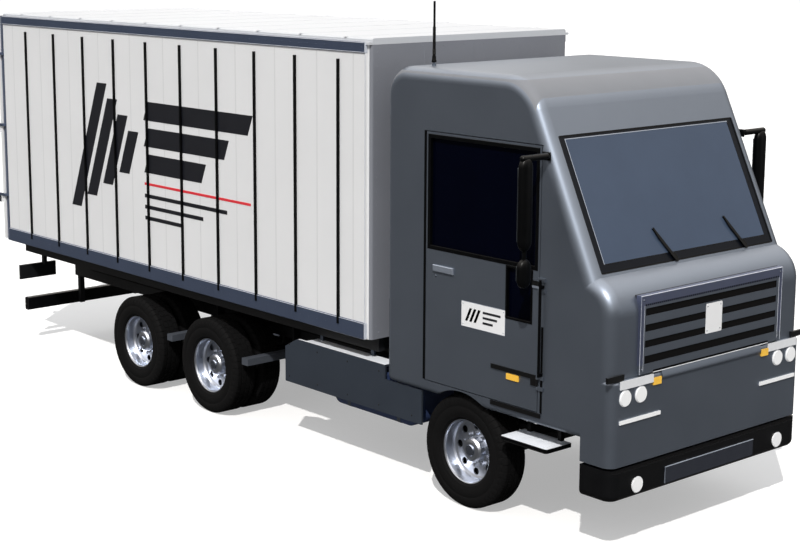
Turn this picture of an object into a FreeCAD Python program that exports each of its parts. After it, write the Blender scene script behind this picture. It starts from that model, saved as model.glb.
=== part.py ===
import FreeCAD
import Part
import Sketcher
import os
import math

# Three-axle box truck with a flat-front cab. X points forward, Y to the truck's left, Z up;
# the ground is Z = 0 and the origin lies under the middle of the truck. Millimetres throughout.

doc = FreeCAD.newDocument("BoxTruck")
sheet = doc.addObject("Spreadsheet::Sheet", "Sizes")

sizes = [
    # wheels and axles
    ("tyreRadius", 505), ("tyreWidth", 275), ("beadStep", 60), ("shoulder", 74),
    ("rimRadius", 286), ("rimThick", 14), ("twinGap", 46), ("wheelSpan", 2400),
    ("bogieSpacing", 1366), ("driveSetback", 2650), ("frontSetback", 1685), ("hubRadius", 112),
    ("hubInset", 78), ("hubWall", 14), ("discThick", 12), ("dishDepth", 128),
    ("boltCircle", 143), ("nutRadius", 17), ("nutLength", 26), ("nutCount", 10),
    ("handHole", 33), ("handCircle", 207), ("handCount", 8), ("kingpinInset", 340),
    ("kingpinRadius", 32), ("bossWall", 26), ("spindleRadius", 45), ("axleTube", 75),
    ("diffRadius", 205), ("diffHalf", 130), ("flangeReach", 14), ("flangeWall", 20),
    ("brakeRadius", 195), ("brakeWidth", 90), ("backplate", 30), ("beamHeight", 110),
    ("beamWidth", 120), ("forkThick", 50), ("hubClear", 0.4), ("forkClear", 6), ("seat", 0.3),
    ("hubBoss", 30), ("hubTail", 40), ("grooveWidth", 12), ("grooveDepth", 10), ("drumStep", 18),
    ("drumOut", 60),
    # frame
    ("frameWidth", 860), ("railTop", 1010), ("railHeight", 250), ("railFlange", 80),
    ("railThick", 10), ("railFrontGap", 395), ("railRearGap", 26), ("runnerHeight", 140),
    ("bearerHeight", 150), ("bearerWidth", 60), ("bearerCount", 12), ("crossWidth", 60),
    ("crossCount", 7), ("crossHeight", 150), ("crossDrop", 45), ("bearerEnd", 100),
    ("sillInset", 188), ("sillWidth", 70), ("springWidth", 80), ("springPad", 40),
    ("springDepth", 62), ("springHalf", 760), ("springRise", 150), ("springTip", 26),
    ("bogiePad", 70), ("bogieRise", 140), ("bogieTip", 40), ("mountHeight", 50),
    # box body
    ("boxFront", 1925), ("boxLength", 6641), ("boxWidth", 2596), ("boxHeight", 2716),
    ("wallThick", 28), ("floorThick", 110), ("frontWall", 66), ("frontInset", 16),
    ("postRound", 30), ("roofDrop", 26), ("roofThick", 24), ("roofRise", 31), ("roofInset", 42),
    ("bottomRail", 158), ("topRail", 101), ("railProud", 12), ("railChamfer", 6),
    ("stripCount", 10), ("stripFirst", 370), ("stripLast", 550), ("stripWidth", 26),
    ("stripProud", 20), ("stripLow", 92), ("stripTop", 168),
    # rear frame and cargo doors
    ("rearFrame", 60), ("rearPost", 70), ("rearHeader", 120), ("cargoDoorThick", 42),
    ("cargoDoorGap", 16), ("cargoDoorOver", 22), ("cargoHingeOver", 40), ("cargoHingeBack", 43),
    ("cargoPin", 12), ("cargoHingeTall", 80), ("hingeInset", 505), ("hingeStrap", 160),
    ("hingePlate", 12), ("lockRod", 13), ("lockRodOut", 24), ("lockRodIn", 220),
    ("lockRodApart", 680), ("doorLift", 20), ("doorDrop", 25),
    # cab
    ("cabGap", 215), ("cabLength", 2685), ("cabWidth", 2500), ("cabWall", 60),
    ("cabFloorThick", 60), ("cabHeight", 2705), ("sillDrop", 155), ("noseHeight", 1160),
    ("noseShelf", 215), ("noseDrop", 78), ("screenLean", 0.474), ("screenHeight", 1080),
    ("screenSide", 124), ("screenLift", 10), ("screenFoot", 20), ("screenRound", 14),
    ("wiperRight", -277), ("wiperLeft", 656), ("wiperSlant", 170), ("wiperLow", 12),
    ("wiperWidth", 18), ("wiperDepth", 14), ("pivotLength", 60), ("pivotWidth", 34),
    ("pivotDepth", 20), ("wiperHigh", 270), ("screenGlass", 8), ("chinDrop", 185),
    ("chinLength", 298), ("chinProud", 25), ("chinHeight", 710), ("chinRound", 36),
    ("chinSide", 88), ("chinDeep", 130), ("sillRound", 50), ("noseRound", 300),
    ("browRound", 430), ("rearRound", 265), ("sideRound", 110), ("archIn", 560),
    ("archClear", 50), ("humpHalf", 450), ("humpHeight", 210), ("humpGap", 425),
    ("humpWall", 40),
    # cab doors
    ("doorSetback", 780), ("doorLength", 1355), ("doorRise", 115), ("doorHeight", 2205),
    ("doorSeam", 8), ("windowFrame", 45), ("windowSill", 1208), ("kerbLength", 286),
    ("kerbIn", 83), ("kerbGap", 40), ("kerbHeight", 431), ("paneRound", 16),
    ("doorHingeOut", 10), ("doorBarrel", 9.5), ("doorHingeTall", 60), ("doorHingeLow", 250),
    ("doorHingeHigh", 1070), ("doorLug", 70), ("handleLength", 253), ("handleHeight", 58),
    ("handleProud", 20), ("handleRound", 7), ("handleBack", 102), ("handleDrop", 155),
    ("rubLength", 530), ("markerIn", 206), ("markerLength", 141), ("markerLift", 212),
    ("markerHeight", 52), ("rubHeight", 38), ("rubProud", 12), ("rubLow", 45), ("rubStep", 318),
    ("grabHeight", 810), ("grabRadius", 12), ("grabOut", 35), ("grabLift", 310),
    ("grabAhead", 44), ("grabFoot", 60),
    # front
    ("grilleHalf", 934), ("grilleLift", 380), ("grilleHeight", 644), ("grilleDepth", 42),
    ("grilleSide", 46), ("grilleTopBar", 88), ("grilleFoot", 76), ("grilleSkin", 12),
    ("grilleProud", 24), ("grilleRound", 8), ("slotCount", 4), ("slotHeight", 60),
    ("badgeRound", 12), ("badgeHalf", 108), ("badgeHeight", 254), ("badgeLift", 210),
    ("lampBarLift", 640), ("lampBarHeight", 68), ("lampBarIn", 765), ("lampBarOut", 1162),
    ("endOut", 1305), ("endIn", 1110), ("endDepth", 24), ("endHeight", 50), ("amberWidth", 95),
    ("amberHeight", 60), ("amberLift", 613), ("roundLampLift", 563), ("roundLampIn", 907),
    ("roundLampOut", 1097), ("roundLamp", 63), ("lineLift", 355), ("lineHeight", 30),
    ("lineIn", 665), ("lineOut", 1160), ("lampProud", 13), ("bumperHeight", 268),
    ("bumperDrop", 22), ("bumperDepth", 330), ("bumperProud", 35), ("bumperWall", 90),
    ("bumperRound", 110), ("bumperUnder", 60), ("bumperArm", 120), ("bumperArmDrop", 70),
    ("lipDepth", 26), ("lipHeight", 24), ("fogY", 935), ("fogLift", 112), ("fogLamp", 62),
    ("plateHalf", 590), ("plateHeight", 140), ("plateLift", 45),
    # sides under the box
    ("skirtGapRear", 875), ("skirtGapFront", 510), ("skirtHeight", 455), ("skirtRound", 120),
    ("skirtUnder", 205), ("skirtInset", 63), ("skirtThick", 20), ("skirtSlope", 190),
    ("skirtGap", 8), ("tankLength", 1160), ("tankGap", 650), ("tankRound", 140),
    ("tankInset", 123), ("tankWidth", 485), ("tankDrop", 445), ("tankHeight", 440),
    ("stepGap", 540), ("stepLength", 530), ("stepDrop", 160), ("stepRound", 24), ("legIn", 8),
    ("stepInset", 250), ("stepOut", 50), ("stepThick", 38), ("guardProud", 40), ("hookDrop", 60),
    ("hookHalf", 18), ("hookClear", 15), ("hookLap", 40), ("guardLength", 670),
    ("guardDrop", 320), ("guardThick", 70), ("guardWidth", 100), ("guardClear", 35),
    # rear boards and underrun bar
    ("boardGap", 41), ("boardThick", 30), ("boardLength", 494), ("boardInset", 76),
    ("boardDrop", 199), ("boardStay", 160), ("boardHeight", 176), ("barDrop", 346),
    ("barHeight", 158), ("barRound", 22), ("barHalf", 1130), ("barThick", 90), ("barBack", 4),
    ("tailProud", 22),
    # mirrors and antenna
    ("mirrorAhead", 42), ("mirrorDepth", 85), ("mirrorOut", 180), ("mirrorWidth", 185),
    ("mirrorHeight", 755), ("mirrorTop", 59), ("mirrorRound", 40), ("smallGap", 61),
    ("smallHeight", 240), ("mirrorArm", 18), ("mirrorLift", 12), ("mirrorFoot", 14),
    ("antennaBack", 361), ("antennaIn", 250), ("antennaHeight", 560), ("antennaRadius", 6),
    # inside the cab
    ("seatMiddle", 730), ("seatWidth", 500), ("seatLength", 480), ("seatHeight", 500),
    ("seatBack", 710), ("seatThick", 130), ("seatLean", -30), ("seatSetback", 1635),
    ("dashDepth", 705), ("dashLift", 380), ("dashDrop", 200), ("steerRadius", 225),
    ("steerTube", 15), ("steerAhead", 320), ("steerDrop", 20), ("columnRadius", 28),
    # engine and shafts
    ("engineSetback", 575), ("engineLength", 1250), ("engineHalf", 340), ("engineClear", 50),
    ("engineHeight", 560), ("castRound", 60), ("footIn", 200), ("footRise", 80),
    ("footHeight", 80), ("gearboxLength", 800), ("gearboxHalf", 230), ("shaftRadius", 60),
    ("mountPad", 90), ("cabMountIn", 110),
]
row = 0
for alias, value in sizes:
    row += 1
    sheet.set("A%d" % row, alias)
    sheet.set("B%d" % row, str(value))
    sheet.setAlias("B%d" % row, alias)
doc.recompute()


class Size:
    """A number together with the sheet expression that gives it."""

    def __init__(self, value, text):
        self.value = float(value)
        self.text = text

    def __add__(self, other):
        other = size(other)
        return Size(self.value + other.value, "(%s + %s)" % (self.text, other.text))

    def __sub__(self, other):
        other = size(other)
        return Size(self.value - other.value, "(%s - %s)" % (self.text, other.text))

    def __mul__(self, other):
        other = size(other)
        return Size(self.value * other.value, "(%s * %s)" % (self.text, other.text))

    def __truediv__(self, other):
        other = size(other)
        return Size(self.value / other.value, "(%s / %s)" % (self.text, other.text))

    def __radd__(self, other):
        return size(other) + self

    def __rsub__(self, other):
        return size(other) - self

    def __rmul__(self, other):
        return size(other) * self

    def __neg__(self):
        return Size(-self.value, "(0 - %s)" % self.text)


def size(thing):
    if isinstance(thing, Size):
        return thing
    return Size(thing, "(%s)" % repr(float(thing)))


class Named:
    """Every sheet size as an attribute."""


v = Named()
for alias, value in sizes:
    setattr(v, alias, Size(sheet.get(alias), "Sizes." + alias))

nodes = {}
counter = [0]


def fresh(stem):
    counter[0] += 1
    return "%s%d" % (stem, counter[0])


def bind(obj, prop, amount):
    """Set a property now and tie it to the sheet."""
    obj.setExpression(prop, size(amount).text)


def place(obj, x, y, z, axis=None, angle=0):
    x, y, z = size(x), size(y), size(z)
    if axis:
        rotation = FreeCAD.Rotation(FreeCAD.Vector(*axis), angle)
    else:
        rotation = FreeCAD.Rotation()
    obj.Placement = FreeCAD.Placement(FreeCAD.Vector(x.value, y.value, z.value), rotation)
    for key, amount in (("x", x), ("y", y), ("z", z)):
        obj.setExpression("Placement.Base." + key, amount.text)
    return obj


def block(x0, x1, y0, y1, z0, z1):
    """A box between two corners."""
    obj = doc.addObject("Part::Box", fresh("Block"))
    for prop, low, high in (("Length", x0, x1), ("Width", y0, y1), ("Height", z0, z1)):
        span = size(high) - size(low)
        setattr(obj, prop, span.value)
        bind(obj, prop, span)
    return place(obj, x0, y0, z0)


turns = {"X": ((0, 1, 0), 90), "Y": ((1, 0, 0), -90), "Z": (None, 0)}


def rod(axis, radius, length, x, y, z):
    """A round bar that starts at a point and runs along an axis."""
    obj = doc.addObject("Part::Cylinder", fresh("Rod"))
    obj.Radius = size(radius).value
    bind(obj, "Radius", radius)
    obj.Height = size(length).value
    bind(obj, "Height", length)
    direction, angle = turns[axis]
    return place(obj, x, y, z, direction, angle)


def fuse(parts, stem="Joined"):
    if len(parts) == 1:
        return parts[0]
    obj = doc.addObject("Part::MultiFuse", fresh(stem))
    obj.Shapes = parts
    obj.Refine = True
    return obj


def cut(base, tools, stem="Cut"):
    if not isinstance(tools, list):
        tools = [tools]
    obj = doc.addObject("Part::Cut", fresh(stem))
    obj.Base = base
    obj.Tool = fuse(tools)
    obj.Refine = True
    return obj


def common(base, tool):
    obj = doc.addObject("Part::MultiCommon", fresh("Common"))
    obj.Shapes = [base, tool]
    obj.Refine = True
    return obj


def together(parts):
    """Separate solids of one node."""
    obj = doc.addObject("Part::Compound", fresh("Group"))
    obj.Links = parts
    return obj


def name(node, obj):
    obj.Label = node
    nodes[node] = obj
    return obj


def rounded(obj, radius, wanted):
    """Fillet the edges for which the test holds."""
    doc.recompute()
    keys = []
    for i, edge in enumerate(obj.Shape.Edges):
        if wanted(edge):
            keys.append((i + 1, size(radius).value, size(radius).value))
    fillet = doc.addObject("Part::Fillet", fresh("Rounded"))
    fillet.Base = obj
    fillet.Edges = keys
    return fillet


def plane(body, role):
    return [f for f in body.Origin.OriginFeatures if f.Role == role][0]


def outline(body, role, points):
    """A closed sketch whose corners are tied to the sheet, two numbers a corner."""
    sketch = body.newObject("Sketcher::SketchObject", fresh("Outline"))
    sketch.AttachmentSupport = [(plane(body, role), "")]
    sketch.MapMode = "FlatFace"
    pairs = [(size(a), size(b)) for a, b in points]
    count = len(pairs)
    for i in range(count):
        a, b = pairs[i], pairs[(i + 1) % count]
        sketch.addGeometry(Part.LineSegment(FreeCAD.Vector(a[0].value, a[1].value, 0),
                                            FreeCAD.Vector(b[0].value, b[1].value, 0)), False)
    for i in range(count):
        sketch.addConstraint(Sketcher.Constraint("Coincident", i, 2, (i + 1) % count, 1))
    for i, (a, b) in enumerate(pairs):
        for kind, amount in (("DistanceX", a), ("DistanceY", b)):
            n = sketch.addConstraint(Sketcher.Constraint(kind, -1, 1, i, 1, amount.value))
            sketch.setExpression("Constraints[%d]" % n, amount.text)
    return sketch


def prism(points, low, high):
    """A side profile (X, Z corners) padded from Y = low to Y = high."""
    body = doc.addObject("PartDesign::Body", fresh("Prism"))
    sketch = outline(body, "XZ_Plane", points)
    pad = body.newObject("PartDesign::Pad", fresh("Pad"))
    pad.Profile = sketch
    span = size(high) - size(low)
    pad.Length = span.value
    bind(pad, "Length", span)
    # the XZ plane's normal is -Y, so the pad starts at the high side
    return place(body, 0, high, 0)


def plan(points, low, high):
    """A plan outline (X, Y corners) padded from Z = low to Z = high."""
    body = doc.addObject("PartDesign::Body", fresh("Plan"))
    sketch = outline(body, "XY_Plane", points)
    pad = body.newObject("PartDesign::Pad", fresh("Pad"))
    pad.Profile = sketch
    span = size(high) - size(low)
    pad.Length = span.value
    bind(pad, "Length", span)
    return place(body, 0, 0, low)


def spun(points, x, y, z, flip):
    """A ring profile (radius, offset along the axle) turned about an axle along Y."""
    body = doc.addObject("PartDesign::Body", fresh("Spun"))
    sketch = outline(body, "XZ_Plane", points)
    turned = body.newObject("PartDesign::Revolution", fresh("Revolution"))
    turned.Profile = sketch
    turned.ReferenceAxis = (sketch, ["V_Axis"])
    turned.Angle = 360
    # the sketch's upright axis is laid along Y, outwards on either side
    return place(body, x, y, z, (1, 0, 0), 90 if flip else -90)


def bolts(x, y, z, radius, circle, length, count, axis="Y"):
    rods = []
    for i in range(count):
        a = 2 * math.pi * i / count
        rods.append(rod(axis, radius, length, x + size(circle) * math.cos(a), y,
                        z + size(circle) * math.sin(a)))
    return rods


# ---- lines that several pieces share ----
sides = (("right", -1), ("left", 1))


def across(sign, near, far):
    """Lower and higher Y of a span between two distances from the middle."""
    near, far = sign * size(near), sign * size(far)
    return (near, far) if sign > 0 else (far, near)


def plate(sign, x0, x1, near, far, z0, z1):
    """A box on one side of the truck, given by its distances from the middle."""
    low, high = across(sign, near, far)
    return block(x0, x1, low, high, z0, z1)


def beam(points, x0, x1):
    """A cross section (Y, Z corners) padded along X."""
    body = doc.addObject("PartDesign::Body", fresh("Beam"))
    sketch = outline(body, "YZ_Plane", points)
    pad = body.newObject("PartDesign::Pad", fresh("Pad"))
    pad.Profile = sketch
    span = size(x1) - size(x0)
    pad.Length = span.value
    bind(pad, "Length", span)
    return place(body, x0, 0, 0)


def hexes(x, y, z, radius, circle, length, count):
    """A ring of six-sided nuts round an axle along Y."""
    nuts = []
    for i in range(int(size(count).value)):
        a = 2 * math.pi * (i + 0.5) / size(count).value
        nut = doc.addObject("Part::Prism", fresh("Nut"))
        nut.Polygon = 6
        nut.Circumradius = size(radius).value
        bind(nut, "Circumradius", radius)
        nut.Height = size(length).value
        bind(nut, "Height", length)
        nuts.append(place(nut, x + size(circle) * math.cos(a), y,
                          z + size(circle) * math.sin(a), (1, 0, 0), -90))
    return nuts


axleZ = v.tyreRadius
halfTyre = v.tyreWidth / 2
halfRim = halfTyre - v.beadStep / 2
wheelY = v.wheelSpan / 2 - halfTyre
railY = v.frameWidth / 2
springY = railY - v.railFlange / 2
railLow = v.railTop - v.railHeight
bearerLow = v.railTop + v.runnerHeight
boxFloorZ = bearerLow + v.bearerHeight
boxTopZ = boxFloorZ + v.boxHeight
boxRear = v.boxFront - v.boxLength
boxY = v.boxWidth / 2
floorTop = boxFloorZ + v.floorThick
sillY = boxY - v.sillInset
driveOneX = v.boxFront - v.driveSetback
driveTwoX = driveOneX - v.bogieSpacing
cabY = v.cabWidth / 2
cabRear = v.boxFront + v.cabGap
cabNose = cabRear + v.cabLength
cabBase = v.railTop + v.mountHeight
cabFloorZ = cabBase + v.cabFloorThick
cabSillZ = cabFloorZ - v.sillDrop
cabRoofZ = cabFloorZ + v.cabHeight
noseZ = cabFloorZ + v.noseHeight
chinZ = cabSillZ - v.chinDrop
chinRear = cabNose - v.chinLength
screenX = cabNose - v.noseShelf
roofFrontX = screenX - v.screenLean * (cabRoofZ - noseZ)
frontAxleX = cabNose - v.frontSetback
railFront = cabNose - v.railFrontGap
railRear = boxRear + v.railRearGap
doorFront = cabNose - v.doorSetback
doorRear = doorFront - v.doorLength
doorLow = cabSillZ + v.doorRise
doorHigh = doorLow + v.doorHeight
windowLow = doorLow + v.windowSill
windowHigh = doorHigh - v.windowFrame
humpFront = cabNose - v.humpGap
humpTop = cabFloorZ + v.humpHeight
bumperNose = cabNose + v.bumperProud
bumperHigh = chinZ - v.bumperDrop
bumperLow = bumperHigh - v.bumperHeight
tailX = boxRear + v.boardGap

# ---- wheels ----


def tyreProfile():
    """Section of a tyre, as radius and offset, about its middle plane."""
    outer, bead, half = v.tyreRadius, v.rimRadius + v.seat, halfTyre
    groove, deep = v.grooveWidth / 2, outer - v.grooveDepth
    points = [(bead, -halfRim), (bead + v.beadStep, -half), (outer - v.shoulder, -half),
              (outer - v.grooveDepth, -half * 0.86), (outer, -half * 0.76)]
    for share in (-0.42, 0, 0.42):
        m = half * share
        points += [(outer, m - groove), (deep, m - groove), (deep, m + groove),
                   (outer, m + groove)]
    return points + [(outer, half * 0.76), (outer - v.grooveDepth, half * 0.86),
                     (outer - v.shoulder, half), (bead + v.beadStep, half), (bead, halfRim)]


def dish(middle):
    """Dished steel wheel with its closed hub; offsets grow outwards from the turning centre."""
    inner = v.rimRadius - v.rimThick
    bore = v.spindleRadius + v.hubClear
    face = middle + halfRim - v.dishDepth
    back = face - v.discThick
    cap = middle + halfTyre - v.hubInset
    half = middle + halfRim
    return ([(bore, cap - v.hubWall), (size(0), cap - v.hubWall), (size(0), cap),
             (v.hubRadius * 0.66, cap), (v.hubRadius * 0.86, cap - 6),
             (v.hubRadius, cap - 24), (v.hubRadius, face), (inner - 30, face),
             (inner - 10, face + 8), (inner, face + 26), (inner, half - 18),
             (inner + 6, half - 4), (v.rimRadius, half)],
            [(inner, back - 8), (inner - 26, back), (v.hubRadius + 14, back),
             (v.hubRadius + 14, back)])


def finished(node, disc, x, centre, middle, sign):
    """Hand holes through a disc and the nuts on it."""
    face = middle + halfRim - v.dishDepth
    low, high = across(sign, centre + face - v.discThick - 12, centre + face + 12)
    holes = bolts(x, low, axleZ, v.handHole, v.handCircle, high - low, int(v.handCount.value))
    low, high = across(sign, centre + face - 2, centre + face + v.nutLength)
    nuts = hexes(x, low, axleZ, v.nutRadius, v.boltCircle, high - low, v.nutCount)
    name(node, fuse([cut(disc, holes)] + nuts))


def frontWheel(side, sign):
    centreY = sign * wheelY
    flip = sign < 0
    name("front_tyre_" + side, spun(tyreProfile(), frontAxleX, centreY, axleZ, flip))
    out, back = dish(size(0))
    inner = v.rimRadius - v.rimThick
    rear = halfRim - v.dishDepth - v.discThick
    bore = v.spindleRadius + v.hubClear
    loop = out + [(v.rimRadius, -halfRim), (inner, -halfRim)] + back[:3] + \
        [(v.hubRadius - 8, rear - v.hubBoss), (bore, rear - v.hubBoss)]
    finished("front_rim_" + side, spun(loop, frontAxleX, centreY, axleZ, flip), frontAxleX,
             wheelY, size(0), sign)


def driveWheel(tag, axleX, side, sign):
    gap = (v.tyreWidth + v.twinGap) / 2
    innerY = wheelY - 2 * gap
    flip = sign < 0
    outer = spun(tyreProfile(), axleX, sign * wheelY, axleZ, flip)
    second = spun(tyreProfile(), axleX, sign * innerY, axleZ, flip)
    name("tyres_%s_%s" % (tag, side), together([outer, second]))
    # offsets run outwards from the middle plane between the two tyres
    out, back = dish(gap)
    inner = v.rimRadius - v.rimThick
    bore = v.spindleRadius + v.hubClear
    edge = v.rimRadius - 6
    loop = out + [(v.rimRadius, gap - halfRim), (edge, gap - halfRim - 2),
                  (edge, halfRim - gap + 2), (v.rimRadius, halfRim - gap),
                  (v.rimRadius, -gap - halfRim), (inner, -gap - halfRim)] + back[:3] + \
        [(v.hubRadius + 14, -v.hubTail), (bore, -v.hubTail)]
    finished("rims_%s_%s" % (tag, side),
             spun(loop, axleX, sign * (wheelY - gap), axleZ, flip), axleX, wheelY - gap, gap,
             sign)


for side, sign in sides:
    frontWheel(side, sign)
    driveWheel("drive_one", driveOneX, side, sign)
    driveWheel("drive_two", driveTwoX, side, sign)

# ---- front axle with steered knuckles ----
kingpinY = v.wheelSpan / 2 - v.kingpinInset
kingBoss = v.kingpinRadius + v.bossWall
spindleTip = v.wheelSpan / 2 - v.hubInset - v.hubWall - v.forkClear
beamLow = axleZ - v.beamHeight
padTop = axleZ + v.springPad
parts = [block(frontAxleX - v.beamWidth / 2, frontAxleX + v.beamWidth / 2, -kingpinY, kingpinY,
               beamLow, axleZ)]
for side, sign in sides:
    parts.append(rod("Z", kingBoss, v.beamHeight, frontAxleX, sign * kingpinY, beamLow))
    parts.append(plate(sign, frontAxleX - v.beamWidth / 2, frontAxleX + v.beamWidth / 2,
                       springY - v.springWidth / 2, springY + v.springWidth / 2, axleZ - 10,
                       padTop))
bores = [rod("Z", v.kingpinRadius + v.hubClear, v.beamHeight + 2, frontAxleX,
             sign * kingpinY, beamLow - 1) for side, sign in sides]
name("front_axle", cut(fuse(parts), bores))

for side, sign in sides:
    x0, x1 = frontAxleX - kingBoss, frontAxleX + kingBoss
    near, wall = kingpinY - kingBoss, kingpinY + kingBoss + v.forkClear
    low, high = beamLow - v.forkThick, axleZ + v.forkThick
    top = plate(sign, x0, x1, near, wall + 4, axleZ + v.seat, high)
    foot = plate(sign, x0, x1, near, wall + 4, low, beamLow - v.seat)
    back = plate(sign, x0, x1, wall, wall + v.backplate, low, high)
    a, b = across(sign, wall + v.backplate - 2, spindleTip)
    spindle = rod("Y", v.spindleRadius, b - a, frontAxleX, a, axleZ)
    a, b = across(sign, wall + v.backplate / 2, wall + v.backplate + v.drumStep)
    drum = rod("Y", v.brakeRadius, b - a, frontAxleX, a, axleZ)
    pin = rod("Z", v.kingpinRadius, v.beamHeight + 20, frontAxleX, sign * kingpinY, beamLow - 10)
    name("knuckle_" + side, fuse([top, foot, back, spindle, drum, pin]))

# ---- drive axles ----
inboard = v.wheelSpan / 2 - 2 * v.tyreWidth - v.twinGap - 10
axles = []
for x in (driveOneX, driveTwoX):
    tube = rod("Y", v.spindleRadius, spindleTip * 2, x, -spindleTip, axleZ)
    thick = rod("Y", v.axleTube, inboard * 2, x, -inboard, axleZ)
    bowl = spun([(size(0), -v.diffHalf), (v.axleTube + 30, -v.diffHalf),
                 (v.diffRadius, -v.diffHalf * 0.45), (v.diffRadius, v.diffHalf * 0.45),
                 (v.axleTube + 30, v.diffHalf), (size(0), v.diffHalf)], x, 0, axleZ, False)
    flange = rod("X", v.shaftRadius + v.flangeWall, (v.diffRadius + v.flangeReach) * 2,
                 x - v.diffRadius - v.flangeReach, 0, axleZ)
    pieces = [tube, thick, bowl, flange]
    for side, sign in sides:
        low, high = across(sign, inboard + v.drumOut - v.brakeWidth, inboard + v.drumOut)
        pieces.append(rod("Y", v.brakeRadius, high - low, x, low, axleZ))
    axles.append(fuse(pieces))
name("rear_axles", together(axles))

# ---- frame ----
parts = []
for side, sign in sides:
    near, far = railY - v.railFlange, railY
    web = plate(sign, railRear, railFront, near, far, railLow, v.railTop)
    hollow = plate(sign, railRear - 1, railFront + 1, near - 1, far - v.railThick,
                   railLow + v.railThick, v.railTop - v.railThick)
    parts.append(cut(web, hollow))
    # runner under the body's bearers
    parts.append(plate(sign, boxRear + 20, v.boxFront - 20, near, far, v.railTop - 1,
                       bearerLow + 1))
crossY = railY - v.railThick / 2
crossHigh = v.railTop - v.crossDrop
crossPitch = (v.boxFront - railRear - 2 * v.crossWidth) / (v.crossCount - 1)
crossAt = [railRear + v.crossWidth + crossPitch * k for k in range(int(v.crossCount.value))]
for x in crossAt + [railFront - v.crossWidth]:
    parts.append(block(x - v.crossWidth / 2, x + v.crossWidth / 2, -crossY, crossY,
                       crossHigh - v.crossHeight, crossHigh))
bearerPitch = (v.boxLength - 2 * v.bearerEnd) / (v.bearerCount - 1)
for k in range(int(v.bearerCount.value)):
    x = boxRear + v.bearerEnd + bearerPitch * k
    parts.append(block(x - v.bearerWidth / 2, x + v.bearerWidth / 2, -sillY + 1, sillY - 1,
                       bearerLow, boxFloorZ - v.seat))
boardOut = boxY - v.boardInset
boardIn = boardOut - v.boardLength
hangerLow = padTop + v.springRise + v.springTip + 2 * v.seat
cabFoot = cabBase - v.seat
for side, sign in sides:
    near, far = railY - v.railFlange, railY
    # spring hangers, cab mounts and the arms that carry the bumper
    for x in (frontAxleX - v.springHalf, frontAxleX + v.springHalf):
        parts.append(plate(sign, x - 34, x + 34, springY - 38, springY + 38, hangerLow,
                           railLow + 5))
    for x in (cabRear + v.cabMountIn, railFront - v.crossWidth):
        parts.append(plate(sign, x - v.mountPad / 2, x + v.mountPad / 2, near, far,
                           v.railTop - 1, cabFoot))
    armHigh = bumperHigh - v.bumperArmDrop
    parts.append(plate(sign, railFront - v.crossWidth, railFront, near, far,
                       armHigh - v.bumperArm, railLow + 5))
    parts.append(plate(sign, railFront - v.crossWidth, bumperNose - v.bumperWall - v.seat, near,
                       far, armHigh - v.bumperArm, armHigh))
    # the box body's outer sill beams
    parts.append(plate(sign, boxRear + 20, v.boxFront - 20, sillY - v.sillWidth, sillY,
                       bearerLow, boxFloorZ - v.seat))
    # guard beams ahead of the twin wheels, hooked to the frame rails
    guardTop, guardFar = v.railTop - v.guardDrop, sillY + v.guardProud
    for x in (driveOneX, driveTwoX):
        x0 = x + v.tyreRadius + v.guardClear
        parts.append(plate(sign, x0, x0 + v.guardWidth, guardFar - v.guardLength, guardFar,
                           guardTop - v.guardThick, guardTop))
        m = x0 + v.guardWidth / 2
        guardNear, hookHigh = guardFar - v.guardLength, v.railTop - v.hookDrop
        parts.append(plate(sign, m - v.hookHalf, m + v.hookHalf, railY + v.hookClear,
                           guardNear + v.hookLap, guardTop - v.guardThick, hookHigh))
        parts.append(plate(sign, m - v.hookHalf, m + v.hookHalf, railY - 5,
                           railY + v.hookClear + 1, railLow + v.hookLap, hookHigh))
    # lamp boards behind the last wheels, on drop stays
    parts.append(plate(sign, tailX, tailX + v.boardThick, boardIn, boardOut,
                       v.railTop - v.boardDrop, v.railTop - v.boardDrop + v.boardHeight))
    m = boardIn + v.boardStay
    parts.append(plate(sign, tailX + 5, tailX + 5 + v.bearerWidth, m - 20, m + 20,
                       v.railTop - v.boardDrop + v.boardHeight - 30, bearerLow + 20))
    # drop legs of the rear underrun bar
    barX = boxRear - v.barBack
    parts.append(plate(sign, barX + v.barThick + v.seat, barX + v.barThick + v.bearerWidth,
                       railY - 60, railY, railLow - v.barDrop + 10, railLow + 20))
name("chassis_frame", fuse(parts))
name("underrun_bar", rounded(block(barX, barX + v.barThick, -v.barHalf, v.barHalf,
                                   railLow - v.barDrop, railLow - v.barDrop + v.barHeight),
                             v.barRound, lambda e: e.BoundBox.YLength > 1000))

# ---- springs ----
parts = []
centre = (driveOneX + driveTwoX) / 2
seatZ = axleZ + v.axleTube + v.seat
for side, sign in sides:
    low, high = across(sign, springY - v.springWidth / 2, springY + v.springWidth / 2)
    x0, x1 = frontAxleX - v.springHalf, frontAxleX + v.springHalf
    base = padTop + v.seat
    clamp = v.beamWidth / 2
    parts.append(prism([(x0, base + v.springRise), (frontAxleX - clamp, base),
                        (frontAxleX + clamp, base), (x1, base + v.springRise),
                        (x1, base + v.springRise + v.springTip),
                        (frontAxleX + clamp, base + v.springDepth),
                        (frontAxleX - clamp, base + v.springDepth),
                        (x0, base + v.springRise + v.springTip)], low, high))
    end = v.bogiePad
    parts.append(prism([(driveTwoX - end, seatZ), (driveTwoX + end, seatZ),
                        (centre, seatZ + v.bogieRise), (driveOneX - end, seatZ),
                        (driveOneX + end, seatZ), (driveOneX + end, seatZ + v.bogieTip),
                        (centre + v.springPad * 2, railLow - v.seat),
                        (centre - v.springPad * 2, railLow - v.seat),
                        (driveTwoX - end, seatZ + v.bogieTip)], low, high))
name("leaf_springs", together(parts))

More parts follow.
